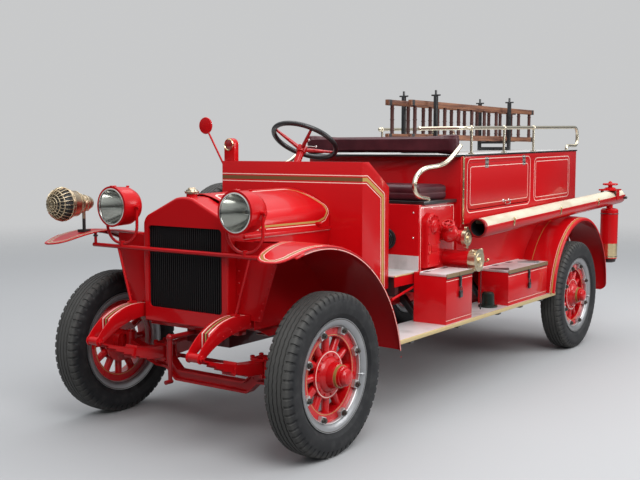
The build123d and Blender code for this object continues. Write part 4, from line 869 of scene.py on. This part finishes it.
def make_wheels():
    tread = tyre_shape()
    bolts, valve = hub_bolts()
    places = {"spare": (spare_place, -1, "front", "chassis", "spare_wheel", "spare_tyre")}
    for end, x in (("front", 0), ("rear", -wheelbase)):
        for word, side in sides:
            corner = f"{end}_{word}"
            places[corner] = ((x, side * wheel_y[end], tyre_r), side, end, f"wheel_{corner}",
                              f"wheel_{corner}", f"tyre_{corner}")
    for corner, (place, side, end, body, wheel, tyre) in places.items():
        dress(wheel, wheel_paint(f"wheel paint {corner}", place, hub_reach[end]))
        thing = piece(f"tread_{corner}", set_at(tread, place, side), tyre_rubber, body, sharp=50)
        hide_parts(tyre)
        off = read(thing.data) * 1000 - (axle_x * 1000 + place[0], place[1], place[2])
        high = np.clip((np.hypot(off[:, 0], off[:, 2]) - 384) / 12, 0, 1).astype(np.float32)
        thing.data.attributes.new("tread", "FLOAT", "POINT").data.foreach_set("value", high)
        piece(f"hub_nuts_{corner}", set_at(bolts, place, side), red, body)
        piece(f"valve_{corner}", set_at(valve, place, side), steel, body)


# Padded seat

def cushion(node, material, seam):
    """Padded piece made from the CAD solid: drawn in by 8 mm, remeshed, blown up by a cloth simulation
    by 12 mm at the most, and pressed in at its seam by 3.5 exp(-((z - seam) / 5)^2) along the normal."""
    low, high = (np.array(corner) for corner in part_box(node))
    thing = new_object(f"{node}_padded", nodes[node].data.copy())

    def write(mesh, corners):
        mesh.vertices.foreach_set("co", corners.astype(np.float32).ravel())
        mesh.update()

    def applied():
        bpy.context.view_layer.update()
        mesh = bpy.data.meshes.new_from_object(thing.evaluated_get(bpy.context.evaluated_depsgraph_get()))
        thing.modifiers.clear()
        thing.data = mesh
        return mesh

    middle = (low + high) / 2
    inset, voxel, most, margin, pressed, frames = 0.008, 0.008, 0.012, 0.0004, 0.0035, 20
    corners = read(thing.data)
    corners = middle + (corners - middle) * (1 - 2 * inset / (high - low))
    corners[:, 2] -= inset * (1 - (corners[:, 2] - low[2]) / (high[2] - low[2])) - 2 * margin
    write(thing.data, corners)
    modify(thing, "REMESH", mode="VOXEL", voxel_size=voxel)
    start = read(applied())
    cloth = modify(thing, "CLOTH")
    cloth.settings.quality = 4
    cloth.settings.mass = 0.3
    cloth.settings.use_pressure = True
    cloth.settings.uniform_pressure_force = 4.0
    cloth.settings.effector_weights.gravity = 0.0
    cloth.point_cache.frame_start = 1
    cloth.point_cache.frame_end = frames
    for step in range(1, frames + 1):
        scene.frame_set(step)
    moved = read(applied()) - start
    scene.frame_set(1)
    far = np.linalg.norm(moved, axis=1, keepdims=True)
    moved *= np.minimum(1.0, most / np.maximum(far, 1e-9))
    write(thing.data, np.clip(start + moved, low + margin, high - margin))
    modify(thing, "SUBSURF", levels=1, render_levels=1)
    mesh = applied()
    mesh.shade_smooth()
    corners = read(mesh)
    inwards = pressed * np.exp(-((corners[:, 2] * 1000 - seam) / 5) ** 2)
    write(mesh, corners - read(mesh, "normal") * inwards[:, None])
    mesh.materials.clear()
    mesh.materials.append(material)
    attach(thing, "chassis")
    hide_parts(node)


# Lamps and siren

def make_lamps():
    """In each drum a silver bowl, radius 94 (s / 126)^0.5 at s from its apex, with a bulb in a brass
    holder, behind a thin nickel rim; on the siren a guard of radial bars on its rings and dome."""
    s = np.linspace(1.5, 126, 16)
    bowl = np.stack([94 * np.sqrt(s / 126), s - 139], axis=1)
    shell = np.concatenate([bowl, (bowl + (0.8, -1.5))[::-1]])
    silver = metal("silvered bowl", (0.66, 0.66, 0.63), 0.05, (0.40, 0.39, 0.35), scratch=0.05)
    rim = [(97.5, -6.5), (97.5, 1.5), (94, 3.5), (90, 2.5), (88, -3.5)]
    bulb = [(0, -112), (7, -112), (8, -104), (13, -96), (16, -86), (13, -75), (7, -69), (0, -67)]
    holder = [(0, -137), (12, -137), (12, -128), (9, -126), (9, -113), (0, -113)]
    for name, profile, steps, loop, material in (
            ("lamp_bowls", shell, 48, True, silver), ("lamp_rims", rim, 48, True, nickel),
            ("lamp_bulbs", bulb, 20, False, glass("bulb glass")), ("lamp_holders", holder, 20, False, brass)):
        piece(name, both(turned(profile, lamp_place, X, steps, loop=loop)), material)
    x, y, z = lamp_place
    clasp = [block((x - 34, y - 8, z + 104), (x + 1, y + 8, z + 111)), nut((x - 120, y, z + 99), Z, 9, 9)]
    clasp += [nut((238, y + side * 125, z), (0, side, 0), 13, 8) for side in (1, -1)]
    piece("lamp_clasps", both(clasp), red)
    outline = [(88, 173), (87, 186), (82, 201), (75, 214), (66, 226), (54, 235), (40, 243), (22, 248),
               (13, 249.5)]
    centre = np.array(siren_place)
    path = centre + [(along, 0, radius) for radius, along in outline]
    guard = [around(swept(rounded(11, 3.5, 1), path[:6], Y), centre, X, 24),
             around(swept(rounded(7, 3, 1), path[5:], Y), centre, X, 15)]
    guard += [ring(centre + (along, 0, 0), X, radius, 4)
              for radius, along in ((88, 171), (72, 217), (54, 235), (38, 243), (24, 247))]
    guard.append(turned([(0, 247), (13, 247), (12, 251), (6, 253), (0, 253.5)], centre, X, 20))
    bright = metal("siren guard brass", (0.55, 0.45, 0.31), 0.16, (0.26, 0.18, 0.10))
    piece("siren_guard", guard, bright)
    back = turned([(0, -2), (30, -2), (34, -6), (30, -16), (12, -18), (10, -24), (0, -24)], centre, X, 28)
    bands = [ring(centre + (along, 0, 0), X, radius, 3)
             for radius, along in ((44.5, 30), (53, 62), (67, 91), (80.5, 148))]
    piece("siren_bands", [back, *bands], bright)


# Trim of the wings, the body and the chassis

def make_wing_trim():
    """A rolled bead round the leaf, rivets along the valance and the frame, and the lamp bar's nuts."""
    edge = [(170, 590), (205, 606), (272, 617), (340, 630), (390, 645), (424, 662), (452, 683), (468, 708),
            (474, 730), (474, 752), (466, 774), (452, 792), (430, 805), (400, 815), (365, 822), (331, 828)]
    flat = smooth([(x, y, 0) for x, y in edge], 4)
    flat[:, 2] = leaf_z(flat[:, 0], flat[:, 1]) - 2.5
    piece("wing_beads", both(pipe(flat, 4.5)), red)
    rivets = [rivet((150, 442 + 96 * t, 672 + 268 * t), X, 6) for t in np.linspace(0, 1, 8)]
    rivets += [rivet((150, 312, z), X, 6) for z in range(720, 1040, 60)]
    rivets += [rivet((x, 384, 640 - 0.0004 * (x - 60) ** 2), Y, 6) for x in (80, 150, 220, 290, 350)]
    rivets += [rivet((x, 384, 590), Y, 6) for x in range(-180, -3960, -180)]
    rivets += [rivet((wing_centre[0], 829.5, wing_centre[1]) + heading(angle) * (wing_r - 24), Y, 4.5)
               for angle in np.radians([100, 125, 150, 172])]
    piece("chassis_rivets", both(rivets), red)
    piece("wing_bolts", both(nut((238, 636, 1040), (0, 0, -1), 13, 10)), black)


def make_spring_trim():
    """Nuts and greasers on the spring pins, clips round the leaves and nuts on the U bolts."""
    shapes = []
    for x, y, z, side in ((512, 384, 527, 1), (512, 308, 527, -1), (-512, 384, 527, 1), (-3848, 474, 606, 1),
                          (-2668, 474, 606, 1)):
        shapes.append(nut((x, y, z), (0, side, 0), 17, 10))
        shapes.append(rod((x, y + side * 9, z), (x, y + side * 16, z), 6, 10))
    for x in (-36, 36):
        shapes += [nut((x, rail_y + across, 441.7), Z, 13, 11) for across in (-42, 42)]
        shapes += [nut((x - wheelbase, y, 560.7), Z, 13, 11) for y in (394, 478)]
    out = np.array([0, 35, 0])
    for middle, y, radius, centre_z, reach, depth in ((0, rail_y, 1377.3, 1805.6, 262, 48),
                                                      (-wheelbase, 436, 2994.4, 3541.7, 300, 58)):
        for side in (-1, 1):
            angle = side * math.asin(reach / radius)
            down = np.array([math.sin(angle), 0, -math.cos(angle)])
            top = (middle, y, centre_z) + down * (radius - 2)
            foot = top + down * depth
            loop = [top + out, foot + out, foot - out, top - out]
            shapes.append(swept(rounded(26, 4, 1), loop, heading(angle), closed=True))
            shapes.append(nut(top + down * depth * 0.5 + (0, 36, 0), Y, 8, 6))
    piece("spring_fittings", both(shapes), enamel("spring fitting enamel"))


def make_body_trim():
    """Brass corner strips, flap hinges, handles and rivets, trough clips, deck bolts and box fittings."""
    strips = [block((x, y, 1034), (-1717.5, 603, 1462)) for x, y in ((-1740, 600), (-1720.5, 596))]
    strips += [rivet((-1731, 603, z), Y, 3.5) for z in range(1060, 1460, 65)]
    piece("corner_strips", both(strips), brass)
    heads = []
    for places, downs in ((range(-1825, -2760, -75), (16, 284)), ((-1815, -2760), (70, 123, 177, 230))):
        heads += [rivet((x, 600, body_top(x) - 45 - down), Y, 3.6) for x in places for down in downs]
    middle, handle_z = -2382, 1160
    half = [(45, 604, 0), (45, 612, 0), (42, 613, -18), (22, 613, -26)]
    bail = smooth([(middle + reach, y, handle_z + up) for reach, y, up in half]
                  + [(middle - reach, y, handle_z + up) for reach, y, up in half[::-1]])
    foot = [(0, 0), (11, 0), (9, 5), (0, 6)]
    grip = [pipe(bail, 3.5, (0.1, 1, 0.05))]
    grip += [turned(foot, (x, 600, handle_z), Y, 20) for x in (middle + 45, middle - 45)]
    leaves, plates = [], []
    for x in (-2067, -2675):
        z = body_top(x) - 45
        leaves.append(block((x - 26, 600, z - 36), (x + 26, 602, z - 1)))
        leaves.append(rod((x - 28, 600, z), (x + 28, 600, z), 3))
        plates.append(block((x - 26, 600, z + 4), (x + 26, 602, z + 34)))
        for across in (-17, 0, 17):
            leaves.append(rivet((x + across, 602, z - 26), Y, 3.5))
            plates.append(rivet((x + across, 602, z + 25), Y, 3.5))
    for word, side in sides:
        body = f"flap_{word}"
        piece(f"flap_hinge_leaves_{word}", on_side(leaves, side), nickel, body)
        piece(f"flap_hinge_plates_{word}", on_side(plates, side), nickel)
        piece(f"flap_rivets_{word}", on_side(heads, side), red, body)
        piece(f"flap_handle_{word}", on_side(grip, side), nickel, body)
    clips = []
    for x in (-2077, -2900, -3700):
        z = trough_z(x)
        clips += [block((x - 9, 798.4, z - 22), (x + 9, 801.5, z + 12)),
                  rod((x, 802, z - 4), (x, 802, z + 22), 6), ball((x, 802, z + 27), 8)]
    piece("hose_clips", both(clips), brass)
    inner, outer = hose_mouth_r, hose_r + 3
    mouth = [(inner + 1, 4.2), (outer, 4.2), (outer + 2, 8), (outer, 14), (inner + 2, 14), (inner, 9)]
    front = (trough_front[0], trough_y, trough_front[1])
    piece("hose_mouths", both(turned(mouth, front, (1, 0, -0.0374), 40, loop=True)),
          enamel("hose mouth enamel", None, (0.26, 0.006, 0.008), DARK_RED))
    bolts = []
    for x in range(-1780, -3700, -160):
        bolts += [rivet((x, 594, body_top(x) + 10), Z, 5), rivet((x, 604.2, body_top(x) + 4), Y, 3)]
    piece("deck_bolts", both(bolts), steel)
    screws = [rivet((-1239.7, 515, z), X, 6) for z in (1128, 975)]
    screws += [rivet((x, 555, 1152), Y, 4.5) for x in (-1290, -1400, -1510, -1640)]
    piece("seat_box_screws", both(screws), nickel)


def make_box_trim():
    """Padlocks that hang on the hasps, hinge leaves, bars on the rear lids and a hook beside them."""
    for name, x, top, side, inner, outer in (
            ("front_left", -1332, 780, 1, 600, 634), ("rear_left", -2364, 715, 1, 575, 605),
            ("rear_right", -2364, 715, -1, 575, 605)):
        z = top - 130
        arch = [(-11, 14), (-11, 34), (0, 44), (11, 34), (11, 14)]
        shackle = smooth([(x + across, 796, z + up) for across, up in arch])
        lock = [block((x - 17, 790, z - 24), (x + 17, 802, z + 18), 4), pipe(shackle, 3.4, (0, 1, 0.01)),
                block((x - 8, 793.6, top - 84), (x + 8, 797.5, top - 36)), rivet((x, 794.2, top - 30), Y, 6)]
        lock += [block((middle - 30, inner, top + 0.3), (middle + 30, outer, top + 2))
                 for middle in (x - 110, x + 110)]
        if name != "front_left":
            runs = [((-2056, 636), (-2056, 778)), ((-2520, 636), (-2556, 776)), ((-2664, 640), (-2566, 776))]
            bars = [bar((*start, top - 4), (*end, top + 7), 5, 18) for start, end in runs]
            bars += [bar((*start, top + 1.5), (*end, top + 1.5), 22, 3) for start, end in runs]
            bars += [rivet((x0 + 8, y0 + 6, top + 3), Z, 4) for (x0, y0), _ in runs]
            piece(f"lid_bars_{name}", on_side(bars, side), steel, f"lid_{name}")
        piece(f"padlock_{name}", on_side(lock, side), black, f"lid_{name}")
    x = -1990
    hook = pipe(smooth([(x, 560, 792), (x, 600, 782), (x, 640, 770), (x, 652, 778)]), 6)
    foot = turned([(0, 0), (20, 0), (17, 5), (0, 6)], (x, 560, 792), Y, 20)
    piece("coat_hook", [hook, ball((x, 655, 785), 10), foot], brass)


def make_pump_trim():
    """Bolts round the pump casing, nuts on the brass caps, and a chain of links hanging from the inlet."""
    x, face = -1349, 600.6
    bolts = [nut((x, face, 1046) + 64 * heading(angle), Y, 6.5, 6)
             for angle in np.radians(np.arange(0, 181, 30))]
    bolts += [nut((x + out, face, z), Y, 6.5, 6) for z in (820, 880, 940, 1000) for out in (-64, 64)]
    cover = [(0, 0), (44, 0), (44, 4), (36, 7), (30, 14), (12, 18), (0, 18)]
    blank_plate = block((x - 35, face, 886), (x + 35, face + 2, 930))
    piece("pump_bolts", [turned(cover, (x, face, 1040), Y, 36), blank_plate, *bolts], red)
    inlet = (suction_place[0], 787.3, suction_place[1])
    valve = (valve_place[0], 716, valve_place[1])
    caps = [nut(inlet, Y, 20, 12), nut(valve, Y, 14, 10), ring(inlet, Y, 44, 4), ring(valve, Y, 32, 3)]
    caps += [ball((suction_place[0], 770, suction_place[1]) + 86 * heading(angle), 10, Y)
             for angle in np.radians([45, 135, 225, 315])]
    piece("pump_caps", caps, dull_brass)
    x, y, top = -1651, 770, 754
    link = swept(circle(1.3, 8), [(x + 3.4 * math.cos(a), y, top - 4 + 8.2 * math.sin(a))
                                  for a in np.arange(12) * TURN / 12], Y, closed=True)
    crossed = spun(link, np.array([x, y, top - 4]), Z, math.pi / 2)
    count = 16
    links = [((link if number % 2 else crossed)[0] - (0, 0, 14 * number), link[1]) for number in range(count)]
    end_z = top - 14 * count
    links.append(rod((x, y, end_z + 6), (x, y, end_z - 22), 4, 10))
    piece("cap_chain", links, antique)


def make_cab_trim():
    """Gauges on the scuttle, pedals and levers in front of the seat, and the mirror's and lamp's faces."""
    tilt = np.array([-0.557, 0, 0.8305])
    across = np.array(Y, float)
    rims, faces, marks = [], [], []
    for y, radius in ((-120, 42), (0, 56), (120, 42)):
        face = np.array([-851, y, 1364]) + tilt * 11
        rim = [(-5, 0.5), (-5, 4), (0, 6), (3, 3), (3, -4), (-1, -4)]
        rims.append(turned([(radius + out, up) for out, up in rim], face, tilt, 40, loop=True))
        faces.append(turned([(0, -2), (radius - 4, -2), (radius - 4, 1), (0, 1.2)], face, tilt, 40))
        mark, hand = [bar(face + tilt * width + across * start, face + tilt * width + across * end,
                          width, 1, 0.3, tilt)
                      for width, start, end in ((1.6, radius - 14, radius - 7), (2.4, -8, radius - 12))]
        marks += [around(mark, face, tilt, 12), spun(hand, face, tilt, 2.2 + y * 0.01)]
    piece("gauge_rims", rims, brass)
    piece("gauge_faces", faces, painted("gauge face", (0.62, 0.58, 0.48), 0.35, coat=0.6))
    piece("gauge_marks", marks, black)
    controls = []
    for y in (-410, -230, -165):
        controls += [pipe(smooth([(-845, y, floor_top + 1), (-868, y, 850), (-905, y, 920)]), 7, Y),
                     bar((-905, y, 906), (-918, y, 958), 58, 7, 2, (1, 0, 0.2))]
    controls += [block((-1150, -500, floor_top), (-1040, -440, floor_top + 16), 4)]
    controls += [pipe(smooth(path), 8, Y) for path in (
        [(-1080, -455, floor_top + 12), (-1078, -455, 900), (-1095, -458, 1080)],
        [(-1110, -485, floor_top + 12), (-1112, -485, 930), (-1130, -488, 1150)])]
    piece("cab_levers", controls, black)
    piece("lever_knobs", [ball((-1096, -458, 1094), 20), ball((-1131, -488, 1164), 17)], brass)
    ahead = heading(math.radians(column_tilt_deg))
    up = np.array([-ahead[2], 0, ahead[0]])
    boss = np.array(steering_centre) - up * 44
    tips = [ahead * 50 + across * 76, ahead * -30 + across * 84]
    arms = [rod(boss + up * 4, boss + up * 14 + tip, 3, 8) for tip in tips]
    arms += [ball(boss + up * 17 + tip, 7, up) for tip in tips]
    arms.append(turned([(0, 0), (26, 0), (24, 5), (10, 9), (0, 10)], boss, up, 32))
    piece("column_levers", arms, nickel, "steering_wheel")
    x = scuttle_front_x - 34
    mirror = turned([(0, -6.2), (47, -6.2), (49, -8), (45, -8.6), (0, -8.8)], (x, -676, 1655), X, 36)
    piece("mirror_glass", mirror, metal("mirror silver", (0.85, 0.87, 0.88), 0.02, scratch=0.02))
    lamp = np.array([x, -467, 1536])
    lens = turned([(31, 19.8), (36, 19.8), (37, 24), (33, 28), (30, 25)], lamp, X, 36, loop=True)
    piece("side_lamp_rim", [lens, spun(lens, lamp, Z, math.pi)], brass)
    glow = turned([(31, 20), (30, 24), (22, 27), (0, 29)], lamp, X, 32)
    piece("side_lamp_glass", glow, painted("ruby glass", (0.25, 0.004, 0.006), 0.08, coat=1.0))
    piece("horn_rings", [ring((-1213.5, 333, 961), X, radius, 2.2) for radius in (14, 26, 38, 50)], black)


def make_small_parts():
    """Bonnet catches and knobs, iron straps on the ladders, and the extinguisher's hose tap."""
    catches = []
    for x in (-60, -560):
        catches += [block((x - 24, 290.5, 1086), (x + 24, 294, 1104)), rod((x, 292, 1095), (x, 306, 1095), 5),
                    ball((x, 310, 1095), 9, Y)]
    for word, side in sides:
        piece(f"bonnet_catches_{word}", on_side(catches, side), red, f"bonnet_{word}")
    straps = []
    for front, y in ladder_places:
        for x in (front - 30, front - 2085):
            for z in (1599, 1831):
                straps.append(block((x - 20, y - 14, z - 20), (x + 20, y + 14, z + 20), 3))
                straps += [rivet((x, y + side * 14, z), (0, side, 0), 5) for side in (-1, 1)]
    piece("ladder_straps", straps, iron)
    collars = []
    for front, y in ladder_places:
        for number in range(10):
            x = front - 70 - number * 1975 / 9
            collars += [ring((x, y, z), Z, 13, 3.4, 20, 8) for z in (1640, 1715, 1790)]
    piece("rung_collars", collars, wood("rung wood", (0.07, 0.024, 0.018), (0.03, 0.012, 0.010)))
    tap = [rod((-4330, 798.8, 1108), (-4330, 812, 1108), 12), ball((-4330, 816, 1108), 12, Y),
           ring((fittings_x, 735, 980), Z, 72, 3), ring((fittings_x, 735, 620), Z, 72, 2.4)]
    piece("bottle_bands", tap, black)
    wings = [block((124, -4, 1300), (176, 4, 1310), 3), ring((150, 0, 1289), Z, 36, 2.5)]
    piece("filler_wings", wings, antique)


make_wheels()
make_lamps()
make_wing_trim()
make_spring_trim()
make_body_trim()
make_box_trim()
make_pump_trim()
make_cab_trim()
make_small_parts()
for node, seam in (("seat_cushion", 1243), ("back_cushion", 1586)):
    cushion(node, leather(f"{node[:4]} leather", seam), seam)


# Stage

def make_floor():
    """A wide pale floor that fades into the backdrop far from the object."""
    shader = Shader("pale floor", Roughness=0.8, Specular_IOR_Level=0.1)
    path = shader.add("ShaderNodeLightPath").outputs
    seen = Field(shader, path["Is Camera Ray"]) | Field(shader, path["Is Glossy Ray"])
    seen = seen | Field(shader, path["Is Transmission Ray"])
    shader.set("Base Color", shader.mix(seen, (0.15, 0.15, 0.155), (0.44, 0.443, 0.45)))
    x, y, _ = shader.places()
    from_middle = length(x + 1900, y)
    shader.set("Alpha", 1 - from_middle.ramp(6000, 15000))
    mesh = bpy.data.meshes.new("floor")
    reach = 30
    mesh.from_pydata([(-reach, -reach, 0), (reach, -reach, 0), (reach, reach, 0), (-reach, reach, 0)], [],
                     [(0, 1, 2, 3)])
    mesh.materials.append(shader.material)
    new_object("floor", mesh)


def make_light():
    """Soft overcast light, brightest from above, and three large soft lamps; a plain pale backdrop."""
    world = bpy.data.worlds.new("studio")
    world.use_nodes = True
    scene.world = world
    tree = Nodes(world.node_tree)
    sky, output = (tree.nodes[name] for name in ("Background", "World Output"))
    way = tree.add("ShaderNodeTexCoord").outputs["Generated"]
    split = tree.add("ShaderNodeSeparateXYZ", inputs={0: way})
    height = tree.add("ShaderNodeMapRange", inputs={"Value": split.outputs["Z"], "From Min": 0.0,
                                                    "From Max": 0.85, "To Min": 0.07, "To Max": 1.0})
    backdrop = tree.add("ShaderNodeBackground", inputs={"Color": (0.58, 0.585, 0.59)})
    seen = tree.add("ShaderNodeLightPath").outputs["Is Camera Ray"]
    choice = tree.add("ShaderNodeMixShader", inputs={0: seen, 1: sky.outputs[0], 2: backdrop.outputs[0]})
    tree.feed(sky.inputs["Color"], (0.94, 0.97, 1.0))
    tree.feed(sky.inputs["Strength"], height.outputs[0])
    tree.feed(output.inputs["Surface"], choice.outputs[0])
    for name, place, size, power, aim in (
            ("key", (4.5, 5.0, 6.5), 5.0, 430, (0, 0, 0.8)),
            ("over", (-1.0, -1.0, 7.5), 7.0, 260, (-0.5, 0, 0.5)),
            ("side", (-3.5, 6.5, 3.5), 4.0, 250, (-0.8, 0.6, 0.8))):
        lamp = bpy.data.lights.new(name, "AREA")
        lamp.size = size
        lamp.energy = power
        thing = new_object(name, lamp)
        thing.location = place
        thing.rotation_euler = (Vector(aim) - Vector(place)).to_track_quat("-Z", "Y").to_euler()


def make_camera():
    """The photograph's viewpoint: place, direction, roll and lens."""
    place = Vector((axle_x + 3.7825, 3.3826, 1.4985))
    forward = Vector((-0.81245, -0.57559, -0.09284)).normalized()
    roll = math.radians(0.086)
    camera = bpy.data.cameras.new("camera")
    camera.sensor_width = 36
    camera.lens = 53.73
    thing = new_object("camera", camera)
    turn = forward.to_track_quat("-Z", "Y").to_matrix().to_4x4()
    thing.matrix_world = Matrix.Translation(place) @ turn @ Matrix.Rotation(roll, 4, "Z")
    scene.camera = thing


make_floor()
make_light()
make_camera()
scene.view_settings.view_transform = "Standard"
